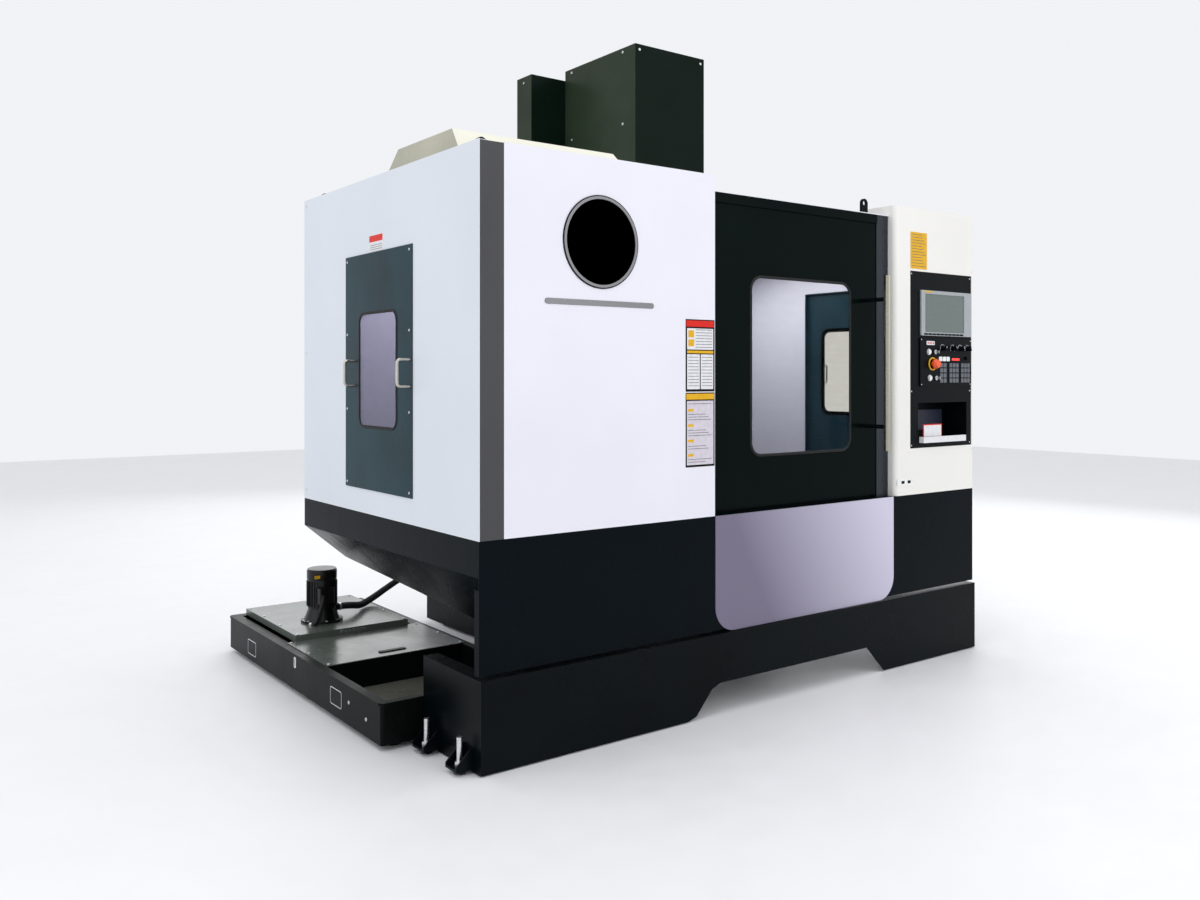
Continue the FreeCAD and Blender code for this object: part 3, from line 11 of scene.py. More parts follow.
import bpy
import numpy as np
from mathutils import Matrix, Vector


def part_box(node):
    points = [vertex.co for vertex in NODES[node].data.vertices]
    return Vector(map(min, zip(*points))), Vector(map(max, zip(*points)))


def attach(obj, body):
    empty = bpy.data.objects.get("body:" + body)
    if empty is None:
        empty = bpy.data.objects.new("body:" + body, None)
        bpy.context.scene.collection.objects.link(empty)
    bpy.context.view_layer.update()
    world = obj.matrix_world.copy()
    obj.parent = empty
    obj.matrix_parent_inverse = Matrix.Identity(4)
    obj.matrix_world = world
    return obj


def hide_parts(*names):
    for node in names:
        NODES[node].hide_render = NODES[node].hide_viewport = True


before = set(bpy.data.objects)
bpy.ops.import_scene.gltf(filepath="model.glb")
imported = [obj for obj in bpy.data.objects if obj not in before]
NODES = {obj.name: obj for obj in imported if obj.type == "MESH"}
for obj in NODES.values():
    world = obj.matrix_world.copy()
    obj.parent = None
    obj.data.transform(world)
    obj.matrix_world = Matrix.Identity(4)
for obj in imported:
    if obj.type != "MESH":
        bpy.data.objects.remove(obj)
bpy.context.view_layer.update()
MM = 0.001


def span(node):
    """The lowest and highest corner of a CAD node, as numpy arrays in metres."""
    low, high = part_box(node)
    return np.array(low), np.array(high)


# %% [markdown]
# ## Surfaces from formulas
# Blender can build a plate from a cube with a bevel, or a knob from a cylinder with loops cut
# in. Here both are one idea: a closed outline repeated at several heights, each time pushed in
# or out a little, and capped at both ends. The whole stack of points is one numpy array.

# %% a mesh from arrays
def as_piece(name, verts, faces, body, finish, slot, smooth=True):
    """A mesh object from an (n, 3) array and a list of faces. It rides on a body and wears one finish."""
    mesh = bpy.data.meshes.new(name)
    mesh.from_pydata(np.asarray(verts, float).tolist(), [], faces)
    mesh.update()
    if smooth:
        mesh.shade_smooth()
        mesh.set_sharp_from_angle(angle=math.radians(32))
    piece = bpy.data.objects.new(name, mesh)
    bpy.context.scene.collection.objects.link(piece)
    mesh.materials.append(finish)
    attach(piece, body)
    return piece


def ring_faces(rings, points, closed=False):
    """Quads between neighbouring rings of a stack, and one flat face at each end unless the stack closes."""
    k = np.arange(rings if closed else rings - 1)[:, None] * points
    i = np.arange(points)[None, :]
    j = (i + 1) % points
    up = (k + points) % (rings * points)
    quads = np.stack([k + i, k + j, up + j, up + i], -1).reshape(-1, 4).tolist()
    if not closed:
        quads += [list(range(points))[::-1], list(range((rings - 1) * points, rings * points))]
    return quads


AXES = {"x": (1, 2, 0), "y": (2, 0, 1), "z": (0, 1, 2)}


def along(axis, uvh):
    """Turns (u, v, height) points so that height runs along an axis, keeping them right-handed."""
    u, v, h = AXES[axis]
    out = np.empty_like(uvh)
    out[..., u], out[..., v], out[..., h] = uvh[..., 0], uvh[..., 1], uvh[..., 2]
    return out


def rounded_outline(width, height, radius, steps=6):
    """A rectangle's outline whose corners are quarter circles: each corner centre plus r(cos t, sin t)."""
    t = np.linspace(0, math.pi / 2, steps)
    radius = max(min(radius, width / 2 - 1e-5, height / 2 - 1e-5), 1e-5)
    out = []
    for quarter, (sx, sy) in enumerate(((1, 1), (-1, 1), (-1, -1), (1, -1))):
        turn = t + quarter * math.pi / 2
        out.append(np.stack([sx * (width / 2 - radius) + radius * np.cos(turn),
                             sy * (height / 2 - radius) + radius * np.sin(turn)], -1))
    return np.concatenate(out)


def plate_mesh(centre, size, axis, radius, edge):
    """A plate with rounded corners and softened edges: its outline at four heights, the outer two smaller."""
    width, height, depth = size
    rings = []
    for inset, level in ((edge, -depth / 2), (0, -depth / 2 + edge), (0, depth / 2 - edge),
                         (edge, depth / 2)):
        outline = rounded_outline(width - 2 * inset, height - 2 * inset, radius - inset)
        rings.append(np.column_stack([outline, np.full(len(outline), level)]))
    rings = np.array(rings)
    verts = along(axis, rings).reshape(-1, 3) + np.asarray(centre)
    return verts, ring_faces(len(rings), rings.shape[1])


def plate(name, centre, size, axis, radius, edge, body, finish, slot):
    return as_piece(name, *plate_mesh(centre, size, axis, radius, edge), body, finish, slot)


def turned_mesh(profile, centre, axis, sides=32):
    """A turned shape: each (radius, height) of the profile swept round the axis, from bottom to top."""
    r, h = np.asarray(profile, float).T
    t = np.linspace(0, 2 * math.pi, sides, endpoint=False)
    rings = np.stack([r[:, None] * np.cos(t), r[:, None] * np.sin(t),
                      np.broadcast_to(h[:, None], (len(h), sides))], -1)
    return along(axis, rings).reshape(-1, 3) + np.asarray(centre), ring_faces(len(h), sides)


def turned(name, profile, centre, axis, body, finish, slot, sides=32):
    return as_piece(name, *turned_mesh(profile, centre, axis, sides), body, finish, slot)


def gasket_mesh(centre, size, axis, radius, width, depth, steps=7):
    """A rubber frame round a window: a half-round section carried round the rounded outline."""
    t = np.linspace(0, 2 * math.pi, 9, endpoint=False)
    outward, raised = width / 2 * np.cos(t), depth / 2 * np.sin(t)
    rings = [np.column_stack([rounded_outline(size[0] + 2 * o, size[1] + 2 * o, radius + o, steps),
                              np.full(4 * steps, h)]) for o, h in zip(outward, raised)]
    rings = np.array(rings)
    verts = along(axis, rings).reshape(-1, 3) + np.asarray(centre)
    return verts, ring_faces(len(rings), rings.shape[1], closed=True)


def tube_mesh(path, radius, sides=14):
    """A tube: a circle carried along a path, its frame turned as little as possible from point to point.
    radius is one number or one per path point, so a ribbed hose is radius + depth * cos(length)."""
    path = np.asarray(path, float)
    tangent = np.gradient(path, axis=0)
    tangent /= np.linalg.norm(tangent, axis=1)[:, None]
    helper = np.array([0.13, 0.21, 0.97]) if abs(tangent[0, 2]) < 0.8 else np.array([0.97, 0.2, 0.1])
    normal = np.cross(tangent, helper)
    normal /= np.linalg.norm(normal, axis=1)[:, None]
    other = np.cross(tangent, normal)
    t = np.linspace(0, 2 * math.pi, sides, endpoint=False)[:, None]
    r = np.broadcast_to(np.asarray(radius, float), (len(path),))[:, None, None]
    rings = path[:, None] + r * (np.cos(t) * normal[:, None] + np.sin(t) * other[:, None])
    return rings.reshape(-1, 3), ring_faces(len(path), sides)


def many(meshes):
    """Several meshes as one: their points stacked, their faces renumbered."""
    verts, faces, start = [], [], 0
    for v, f in meshes:
        verts.append(v)
        faces += [[i + start for i in face] for face in f]
        start += len(v)
    return np.concatenate(verts), faces


print("shape helpers ready")

# %% [markdown]
# ## Finishes
# Powder coat is paint baked on as dust: it is even in colour but its skin has a fine orange-peel
# texture. A texture image could show that, but a noise worked out from the object's own
# coordinates stays sharp at any distance, so each finish here is a small graph of noise nodes
# that feeds roughness, bump and a slight drift of colour.

# %% finish builders
def graph(name):
    """A new material's node tree, its shader and its object coordinates."""
    material = bpy.data.materials.new(name)
    material.use_nodes = True
    tree = material.node_tree
    shader = tree.nodes["Principled BSDF"]
    where = tree.nodes.new("ShaderNodeTexCoord")
    return material, tree, shader, where.outputs["Object"]


def noise(tree, where, scale, detail=3.0, stretch=(1, 1, 1)):
    """A noise value over the object's coordinates, stretched along chosen axes."""
    mapping = tree.nodes.new("ShaderNodeMapping")
    mapping.inputs["Scale"].default_value = stretch
    tree.links.new(where, mapping.inputs["Vector"])
    field = tree.nodes.new("ShaderNodeTexNoise")
    field.inputs["Scale"].default_value = scale
    field.inputs["Detail"].default_value = detail
    tree.links.new(mapping.outputs["Vector"], field.inputs["Vector"])
    return field.outputs["Fac"]


def ramp(tree, value, stops):
    """A value turned into colours (r, g, b) or greys between given stops."""
    node = tree.nodes.new("ShaderNodeValToRGB")
    band = node.color_ramp
    while len(band.elements) < len(stops):
        band.elements.new(0.5)
    for element, (at, colour) in zip(band.elements, stops):
        element.position = at
        element.color = (*colour, 1) if isinstance(colour, tuple) else (colour, colour, colour, 1)
    tree.links.new(value, node.inputs["Fac"])
    return node.outputs["Color"]


def bump(tree, shader, height, strength, distance):
    node = tree.nodes.new("ShaderNodeBump")
    node.inputs["Strength"].default_value = strength
    node.inputs["Distance"].default_value = distance
    tree.links.new(height, node.inputs["Height"])
    tree.links.new(node.outputs["Normal"], shader.inputs["Normal"])


def shade(colour, factor):
    return tuple(min(1.0, c * factor) for c in colour)


def coat(name, colour, rough=0.38, peel=900.0, peel_depth=0.00006, drift=0.05, shine=0.5):
    """Powder coat or paint: fine orange peel, a slow drift of tone, and roughness varied by handling."""
    material, tree, shader, where = graph(name)
    slow = noise(tree, where, 2.3, 4.0)
    tone = ramp(tree, slow, [(0.3, shade(colour, 1 - drift)), (0.7, shade(colour, 1 + drift))])
    tree.links.new(tone, shader.inputs["Base Color"])
    wiped = noise(tree, where, 9.0, 5.0, (1, 1, 0.35))
    tree.links.new(ramp(tree, wiped, [(0.3, rough * 0.82), (0.75, min(1.0, rough * 1.2))]),
                   shader.inputs["Roughness"])
    bump(tree, shader, noise(tree, where, peel, 2.0), 0.35, peel_depth)
    shader.inputs["Specular IOR Level"].default_value = shine
    return material


def brushed(name, colour, rough=0.28, stretch=(1, 1, 60), scale=40.0, metal=1.0, depth=0.00004):
    """Brushed or ground metal: noise drawn out along the strokes, in roughness and bump."""
    material, tree, shader, where = graph(name)
    strokes = noise(tree, where, scale, 6.0, stretch)
    tree.links.new(ramp(tree, strokes, [(0.25, shade(colour, 0.82)), (0.75, shade(colour, 1.12))]),
                   shader.inputs["Base Color"])
    tree.links.new(ramp(tree, strokes, [(0.3, rough * 0.7), (0.7, rough * 1.4)]),
                   shader.inputs["Roughness"])
    bump(tree, shader, strokes, 0.25, depth)
    shader.inputs["Metallic"].default_value = metal
    return material


def moulded(name, colour, rough=0.45, grain=1400.0, depth=0.00005, glow=None, shine=0.5):
    """Moulded plastic or rubber: a fine grain and slightly cloudy roughness; glow is (colour, strength)."""
    material, tree, shader, where = graph(name)
    cloud = noise(tree, where, 60.0, 3.0)
    tree.links.new(ramp(tree, cloud, [(0.3, shade(colour, 0.93)), (0.7, shade(colour, 1.07))]),
                   shader.inputs["Base Color"])
    tree.links.new(ramp(tree, cloud, [(0.3, rough * 0.85), (0.7, min(1.0, rough * 1.15))]),
                   shader.inputs["Roughness"])
    bump(tree, shader, noise(tree, where, grain, 1.0), 0.3, depth)
    shader.inputs["Specular IOR Level"].default_value = shine
    if glow:
        shader.inputs["Emission Color"].default_value = (*glow[0], 1)
        shader.inputs["Emission Strength"].default_value = glow[1]
    return material


def pane_finish(name, tint, smear=0.05):
    """A clear guarded pane: thin tinted glass with faint wiping marks in its roughness."""
    material, tree, shader, where = graph(name)
    marks = noise(tree, where, 14.0, 6.0, (1, 1, 3))
    tree.links.new(ramp(tree, marks, [(0.4, 0.02), (0.8, 0.02 + smear)]), shader.inputs["Roughness"])
    tone = ramp(tree, marks, [(0.3, shade(tint, 0.96)), (0.7, tint)])
    tree.links.new(tone, shader.inputs["Base Color"])
    shader.inputs["Transmission Weight"].default_value = 1.0
    shader.inputs["IOR"].default_value = 1.08
    shader.inputs["Specular IOR Level"].default_value = 0.9
    return material


def machined(name, colour, scale=6.0):
    """Scraped and ground iron: crossing strokes and a little oil darkening."""
    material, tree, shader, where = graph(name)
    strokes = noise(tree, where, scale * 12, 5.0, (1, 14, 1))
    oil = noise(tree, where, scale, 4.0)
    mix = tree.nodes.new("ShaderNodeMath")
    mix.operation = "MULTIPLY"
    tree.links.new(strokes, mix.inputs[0])
    tree.links.new(oil, mix.inputs[1])
    tree.links.new(ramp(tree, mix.outputs[0], [(0.12, shade(colour, 0.7)), (0.4, shade(colour, 1.1))]),
                   shader.inputs["Base Color"])
    tree.links.new(ramp(tree, oil, [(0.35, 0.24), (0.7, 0.42)]), shader.inputs["Roughness"])
    bump(tree, shader, strokes, 0.2, 0.00008)
    shader.inputs["Metallic"].default_value = 0.9
    return material


def painted_reflection_coat(name, dark, pale, reach):
    """Satin metallic paint with a painted reflection: its tone climbs from dark to pale between two
    values of x + (z - 0.5) / 2, paler to the right and higher up, standing in for reflected light.
    """
    material, tree, shader, where = graph(name)
    flake = noise(tree, where, 420.0, 2.0)
    axes = tree.nodes.new("ShaderNodeSeparateXYZ")
    tree.links.new(where, axes.inputs[0])
    half = tree.nodes.new("ShaderNodeMath")
    half.operation = "MULTIPLY_ADD"
    half.inputs[1].default_value = 0.5
    tree.links.new(axes.outputs[2], half.inputs[0])
    tree.links.new(axes.outputs[0], half.inputs[2])
    climb = tree.nodes.new("ShaderNodeMapRange")
    climb.inputs["From Min"].default_value = reach[0] + 0.25
    climb.inputs["From Max"].default_value = reach[1] + 0.25
    tree.links.new(half.outputs[0], climb.inputs["Value"])
    tree.links.new(ramp(tree, climb.outputs["Result"], [(0.0, dark), (1.0, pale)]),
                   shader.inputs["Base Color"])
    tree.links.new(ramp(tree, flake, [(0.3, 0.32), (0.7, 0.44)]), shader.inputs["Roughness"])
    bump(tree, shader, flake, 0.2, 0.00003)
    shader.inputs["Metallic"].default_value = 0.35
    return material


print("finish builders ready")

# %% the machine's finishes
WHITE = coat("white_powder_coat", (0.77, 0.77, 0.84), rough=0.34, drift=0.02)
# painted shade: the front's white powder coat made darker and bluer for the side panels
WHITE_PAINTED_SHADE_SIDES = coat("side_powder_coat_painted_shade", (0.66, 0.70, 0.75), rough=0.34, drift=0.02)
WARM_WHITE = coat("warm_powder_coat", (0.80, 0.79, 0.75), rough=0.36, drift=0.02)
CREAM = coat("hatch_cream_coat", (0.74, 0.73, 0.62), rough=0.4, drift=0.05)
CHARCOAL = coat("charcoal_coat", (0.058, 0.058, 0.062), rough=0.42, shine=0.25, peel=600.0,
                peel_depth=0.0001)
GUARD_DARK = coat("guard_blue_black", (0.0010, 0.0034, 0.0055), rough=0.28, peel=700.0, peel_depth=0.0001,
                  drift=0.2, shine=0.05)
DOOR_DARK = coat("door_green_black", (0.0010, 0.0040, 0.0036), rough=0.22, peel=800.0, drift=0.15,
                 shine=0.04)
COVER_DARK = coat("cover_green_black", (0.0030, 0.0085, 0.0055), rough=0.3, peel=800.0, drift=0.2,
                  shine=0.06)
HATCH_TEAL = coat("cover_teal_black", (0.010, 0.036, 0.048), rough=0.3, peel=800.0, drift=0.3, shine=0.1)
# painted reflection: a paler olive copy of the head covers' dark paint for their side faces
HEAD_PAINTED_REFLECTION = coat("cover_side_painted_reflection", (0.022, 0.034, 0.020), rough=0.34, peel=800.0, drift=0.3, shine=0.1)
# painted shade: a darker copy of the hatch's cream for its faces turned to the left
HATCH_PAINTED_SHADE = coat("hatch_painted_shade_cream", (0.40, 0.39, 0.30), rough=0.3, drift=0.12)
PLINTH_DARK = coat("plinth_black", (0.0015, 0.0034, 0.0042), rough=0.3, peel=500.0, peel_depth=0.00014,
                   drift=0.3, shine=0.07)
CASTING = coat("casting_paint", (0.52, 0.55, 0.54), rough=0.5, peel=260.0, peel_depth=0.0004, drift=0.08)
TANK_DARK = coat("tank_black_green", (0.0030, 0.0048, 0.0042), rough=0.3, peel=600.0, drift=0.2, shine=0.05)
LID_GREY = coat("lid_grey_green", (0.098, 0.116, 0.102), rough=0.24, peel=600.0, drift=0.12)
TRAY_BEIGE = coat("tray_beige", (0.15, 0.15, 0.125), rough=0.3, drift=0.2)
MOTOR_BLACK = coat("motor_black", (0.004, 0.004, 0.0045), rough=0.3, peel=500.0, drift=0.2, shine=0.3)
CABINET = coat("cabinet_white", (0.70, 0.72, 0.76), rough=0.38, drift=0.04)
# painted reflection: the apron runs from dark at the lower left to pale at the upper right
APRON = painted_reflection_coat("apron_satin", (0.17, 0.15, 0.22), (0.62, 0.59, 0.73), (-0.05, 0.86))
STEEL = brushed("brushed_steel", (0.56, 0.54, 0.48), rough=0.26)
HANDLE_STEEL = brushed("handle_steel", (0.40, 0.39, 0.32), rough=0.3)
GROUND = brushed("ground_steel", (0.62, 0.63, 0.65), rough=0.16, stretch=(30, 30, 1), scale=60.0)
ZINC = brushed("zinc_plate", (0.72, 0.74, 0.76), rough=0.3, stretch=(1, 1, 1), scale=180.0)
IRON = machined("table_iron", (0.36, 0.37, 0.38))
BLACK = moulded("panel_black", (0.0025, 0.0040, 0.0052), rough=0.36, shine=0.07)
KEY_GREY = moulded("key_grey", (0.10, 0.11, 0.13), rough=0.5)
BEZEL = moulded("bezel_silver", (0.33, 0.36, 0.38), rough=0.42)
SCREEN = moulded("screen_grey", (0.09, 0.115, 0.105), rough=0.14, glow=((0.35, 0.45, 0.42), 0.1))
RED = moulded("stop_orange_red", (0.84, 0.10, 0.02), rough=0.25)
SIGNAL_YELLOW = moulded("plate_yellow", (0.72, 0.40, 0.01), rough=0.4, shine=0.2)
IVORY = moulded("button_white", (0.80, 0.82, 0.80), rough=0.28)
LABEL_WHITE = moulded("plate_white", (0.72, 0.72, 0.74), rough=0.35)
LABEL_RED = moulded("plate_red", (0.66, 0.015, 0.008), rough=0.35, shine=0.2)
LABEL_LILAC = moulded("plate_lilac", (0.60, 0.56, 0.62), rough=0.4)
RED_LED = moulded("display_red", (0.5, 0.01, 0.01), rough=0.3, glow=((1.0, 0.06, 0.03), 0.9))
BLUE_BLACK = moulded("holder_blue_black", (0.02, 0.026, 0.055), rough=0.45)
RUBBER = moulded("rubber_black", (0.007, 0.007, 0.008), rough=0.6, grain=700.0, depth=0.0001, shine=0.3)
JAMB_BLUE = coat("jamb_blue_grey", (0.014, 0.019, 0.026), rough=0.2, drift=0.08, shine=0.3)
BADGE_SILVER = brushed("badge_silver", (0.2, 0.2, 0.21), rough=0.3, stretch=(1, 1, 1), scale=120.0)
GLASS = pane_finish("guard_glass", (0.68, 0.67, 0.745))
# painted light: the right window's pane is tinted warm beige for the warm light seen through it, while the
# left window keeps the lilac guard glass
RIGHT_GLASS_PAINTED_LIGHT = pane_finish("side_glass_painted_warm_light", (0.93, 0.92, 0.74))
LAMP = moulded("lamp_lens", (0.9, 0.92, 1.0), rough=0.5, glow=((0.86, 0.88, 1.0), 4.0))
print(len(bpy.data.materials), "finishes")

# %% [markdown]
# ## Finishes on the frame's own pieces
# The frame's pieces keep their shape and only change their material. Where one sheet shows two
# colours, as a tray painted inside, its faces are told apart by where they lie. On the head covers
# and the roof hatch the second colour is painted light: a painted reflection on the covers' side
# faces and painted shade on the hatch's faces turned to the left.

# %% dress the CAD nodes
DRESS = {
    WHITE: ["front_left_panel", "rear_panel", "roof_panel"],
    # the side panels wear the painted-shade copy of the white coat
    WHITE_PAINTED_SHADE_SIDES: ["left_side_panel", "right_side_panel"],
    WARM_WHITE: ["control_box"], CREAM: ["roof_hatch"], CHARCOAL: ["corner_strip"],
    GUARD_DARK: ["lower_guards", "chip_pans"], PLINTH_DARK: ["base_plinth", "lifting_lugs"],
    DOOR_DARK: ["door_panel", "door_tracks"], COVER_DARK: ["head_covers"],
    HATCH_TEAL: ["left_cover", "right_cover"],
    # the apron wears the painted-reflection gradient
    APRON: ["apron_panel"], CASTING: ["bed", "column", "saddle", "spindle_head", "magazine_frame"],
    TANK_DARK: ["coolant_tank"], LID_GREY: ["tank_lids"], CABINET: ["electric_cabinet", "cabinet_door"],
    MOTOR_BLACK: ["axis_motors", "x_motor", "spindle_motor", "coolant_pump"],
    HANDLE_STEEL: ["door_handle"], STEEL: ["left_cover_handles", "right_cover_handles", "change_arm"],
    GROUND: ["guide_rails", "x_screw", "y_screw", "z_screw", "spindle"],
    ZINC: ["levelling_bolts", "key_switch_upper", "key_switch_lower"], IRON: ["table"],
    BLACK: ["control_fascia", "operator_panel", "mode_knob", "feed_knob", "rapid_knob", "spindle_knob"],
    BEZEL: ["display_unit"], KEY_GREY: ["tool_magazine"], RED: ["estop_button"],
    IVORY: ["start_button", "hold_button"], RUBBER: ["coolant_hose"], LAMP: ["work_light"],
    # the right window takes the warm painted-light tint
    GLASS: ["door_window", "left_window"], RIGHT_GLASS_PAINTED_LIGHT: ["right_window"],
}
for finish, names in DRESS.items():
    for node_name in names:
        slots = NODES[node_name].data.materials
        slots.clear()
        slots.append(finish)
print(sum(len(names) for names in DRESS.values()), "nodes dressed")


def second_finish(node_name, finish, chosen):
    """Gives a second finish to the faces whose centre passes a test on (x, y, z) arrays and normals."""
    mesh = NODES[node_name].data
    mesh.materials.append(finish)
    count = len(mesh.polygons)
    centres, normals = np.empty(count * 3), np.empty(count * 3)
    mesh.polygons.foreach_get("center", centres)
    mesh.polygons.foreach_get("normal", normals)
    pick = chosen(centres.reshape(-1, 3), normals.reshape(-1, 3))
    index = np.where(pick, len(mesh.materials) - 1, 0)
    held = np.empty(count, int)
    mesh.polygons.foreach_get("material_index", held)
    mesh.polygons.foreach_set("material_index", np.where(pick, index, held).astype("int32"))
    mesh.update()
    return int(pick.sum())


def tray_floor(c, n):
    """The upward faces inside the tank's open tray."""
    inside = (c[:, 0] > -1.442) & (c[:, 0] < -0.844) & (c[:, 1] > -0.575) & (c[:, 1] < -0.05)
    return inside & (c[:, 2] > 0.058) & (c[:, 2] < 0.166) & (n[:, 2] > 0.5)


def niche_lip(c, n):
    """The fascia's lowest front edge."""
    return (c[:, 1] < -0.9965) & (c[:, 2] < 1.03)


def jamb(c, n):
    """The post behind the door's closing edge."""
    return (c[:, 0] > 0.746) & (c[:, 2] > 0.77) & (c[:, 2] < 2.01)


def screen(c, n):
    """The display's sunk front face."""
    return (np.abs(c[:, 1] + 0.9985) < 0.0006) & (n[:, 1] < -0.9)


PAINT_TOP = second_finish("coolant_tank", TRAY_BEIGE, tray_floor)
PAINT_TRAY = second_finish("control_fascia", LABEL_WHITE, niche_lip)
PAINT_JAMB = second_finish("door_tracks", JAMB_BLUE, jamb)
PAINT_SCREEN = second_finish("display_unit", SCREEN, screen)
PAINT_FEET = second_finish("levelling_bolts", PLINTH_DARK, lambda c, n: np.abs(c[:, 0] - 0.05) < 0.8)
# painted reflection: the head covers' faces turned along x get the paler olive copy
HEAD_REFLECTION_FACES = second_finish("head_covers", HEAD_PAINTED_REFLECTION, lambda c, n: np.abs(n[:, 0]) > 0.9)
# painted shade: the hatch's faces turned to the left get the darker cream copy
SHADED_HATCH_FACES = second_finish("roof_hatch", HATCH_PAINTED_SHADE, lambda c, n: n[:, 0] < -0.3)
HANDLE_FRONT = span("door_handle")[0][1]
PAINT_LEGS = second_finish("door_handle", BLACK, lambda c, n: c[:, 1] > HANDLE_FRONT + 0.034)
print("second finishes on", HEAD_REFLECTION_FACES, SHADED_HATCH_FACES, PAINT_LEGS, PAINT_TOP, PAINT_TRAY, PAINT_JAMB,
      PAINT_SCREEN, PAINT_FEET, "faces")

# %% [markdown]
# ## Floor, light and camera
# A studio hides its light in large white panels, so that gloss paint shows long soft
# reflections. Small lamps would be simpler, but each would leave a hard dot in every window.

# %% floor and lights
def softbox(name, place, aim, size, power, colour=(1, 1, 1)):
    """A rectangular light of a given size at a place, turned so that it faces the aim point."""
    data = bpy.data.lights.new(name, "AREA")
    data.shape = "RECTANGLE"
    data.size, data.size_y = size
    data.energy = power
    data.color = colour
    light = bpy.data.objects.new(name, data)
    light.location = place
    from_place = np.array(aim, float) - np.array(place, float)
    flat = math.hypot(from_place[0], from_place[1])
    light.rotation_euler = (math.atan2(flat, -from_place[2]), 0,
                            math.atan2(from_place[0], -from_place[1]) + math.pi)
    bpy.context.scene.collection.objects.link(light)
    return light


softbox("sky_panel", (-1.0, -1.5, 6.5), (0, 0, 0.5), (7, 6), 120)
softbox("front_panel", (1.6, -6.5, 3.0), (0.3, -1.0, 1.1), (5, 4), 62)
softbox("left_panel", (-6.5, -0.5, 3.0), (-1.3, 0.0, 1.0), (5, 4), 44, (0.93, 0.96, 1.0))
softbox("back_panel", (2.0, 6.0, 3.5), (0, 1.0, 1.0), (5, 4), 70)
softbox("right_panel", (6.5, 0.5, 3.0), (1.3, 0.0, 1.0), (5, 4), 60)
softbox("cabin_light", (0.05, -0.70, 1.94), (0.05, -0.55, 0.9), (1.9, 0.25), 8, (0.90, 0.86, 1.0))
softbox("cabin_light_back", (-0.75, 0.10, 1.94), (-0.75, 0.05, 0.9), (0.5, 0.5), 4, (0.92, 0.88, 1.0))
softbox("cabin_light_right", (0.95, 0.05, 1.94), (0.95, -0.1, 0.9), (0.4, 0.9), 9, (1.0, 0.96, 0.88))

world = bpy.data.worlds.new("studio")
bpy.context.scene.world = world
world.use_nodes = True
world.node_tree.nodes["Background"].inputs["Color"].default_value = (0.96, 0.97, 1.0, 1)
world.node_tree.nodes["Background"].inputs["Strength"].default_value = 0.92

floor_mesh = bpy.data.meshes.new("floor")
FLOOR_HALF, FLOOR_DROP = 14.0, 0.0005
corners = [[x * FLOOR_HALF, y * FLOOR_HALF, -FLOOR_DROP] for x, y in ((-1, -1), (1, -1), (1, 1), (-1, 1))]
floor_mesh.from_pydata(corners, [], [[0, 1, 2, 3]])
floor = bpy.data.objects.new("floor", floor_mesh)
bpy.context.scene.collection.objects.link(floor)
floor_mesh.materials.append(coat("floor_pale", (0.80, 0.80, 0.81), rough=0.55, peel=90.0, peel_depth=0.0002,
                                 drift=0.01))

# %% camera
camera_data = bpy.data.cameras.new("camera")
VIEW_WIDTH, FOCAL, DROP = 1200, 1041, 74
camera_data.sensor_width, camera_data.lens = 36.0, 36.0 * FOCAL / VIEW_WIDTH
camera_data.shift_y = -DROP / VIEW_WIDTH
camera_data.clip_end = 60
camera = bpy.data.objects.new("camera", camera_data)
camera.location = (-3.0129, -3.9370, 1.300)
camera.rotation_euler = (math.radians(90), 0, math.radians(-36.7))
bpy.context.scene.collection.objects.link(camera)
bpy.context.scene.camera = camera
bpy.context.scene.view_settings.view_transform = "Standard"
print("camera at", tuple(camera.location), "lens", round(camera_data.lens, 2))

# %% [markdown]
# ## Windows
# Each pane sits in a rubber frame. A bevel on the sheet would give an edge, but not the soft
# half-round lip that catches light, so the lip is its own closed ring: a small circle carried
# round the rounded rectangle of the opening.

# %% places on the machine
CORNER = np.array([span("left_side_panel")[0][0], span("front_left_panel")[0][1], 0.0])


def spot(right, back, up):
    """A place in metres, given in millimetres from the enclosure's front left corner on the floor."""
    return CORNER + np.array([right, back, up]) * MM


def spots(across, back, up):
    """Every place whose three numbers, in mm, come one from each list."""
    return [spot(s, t, z) for s in across for t in back for z in up]


def sizes(*numbers):
    return tuple(n * MM for n in numbers)


print("enclosure corner at", CORNER.round(4))

# %% window rubbers
door_low, door_high = span("door_window")
middle = (door_low + door_high) / 2
face = span("door_panel")[0][1]
rubber = gasket_mesh((middle[0], face, middle[2]), sizes(722, 604), "y", 0.055, 0.012, 0.008)
as_piece("door_window_rubber", *rubber, "door", RUBBER, "hose_rubber")
for side, outer in (("left", 0), ("right", 1)):
    low, high = span(side + "_window")
    middle = (low + high) / 2
    face = span(side + "_cover")[outer][0]
    rubber = gasket_mesh((face, middle[1], middle[2]), sizes(332, 443), "x", 0.040, 0.012, 0.007)
    as_piece(side + "_window_rubber", *rubber, side + "_cover", RUBBER, "hose_rubber")
print("three windows framed")

# %% [markdown]
# ## Screws
# A machine this size shows hundreds of small heads. Copying one object many times would fill
# the scene with objects, so each group is a single mesh: one dished head, repeated at a list of
# places by adding each place to its points.

# %% screw heads
def head_profile(radius):
    """A dished head: flat rim, soft shoulder, and a socket drawn down in the middle."""
    return [(radius, 0), (radius, radius * 0.35), (radius * 0.9, radius * 0.5),
            (radius * 0.52, radius * 0.5),
            (radius * 0.45, radius * 0.2), (radius * 0.02, radius * 0.18)]


def screws(name, places, axis, radius, body, finish=ZINC, slot="zinc_steel", outward=1):
    """Dished heads at many places, all facing one way along an axis."""
    profile = [(r, h * outward) for r, h in head_profile(radius * MM)]
    heads = [turned_mesh(profile if outward > 0 else profile[::-1], place, axis, 14) for place in places]
    return as_piece(name, *many(heads), body, finish, slot)


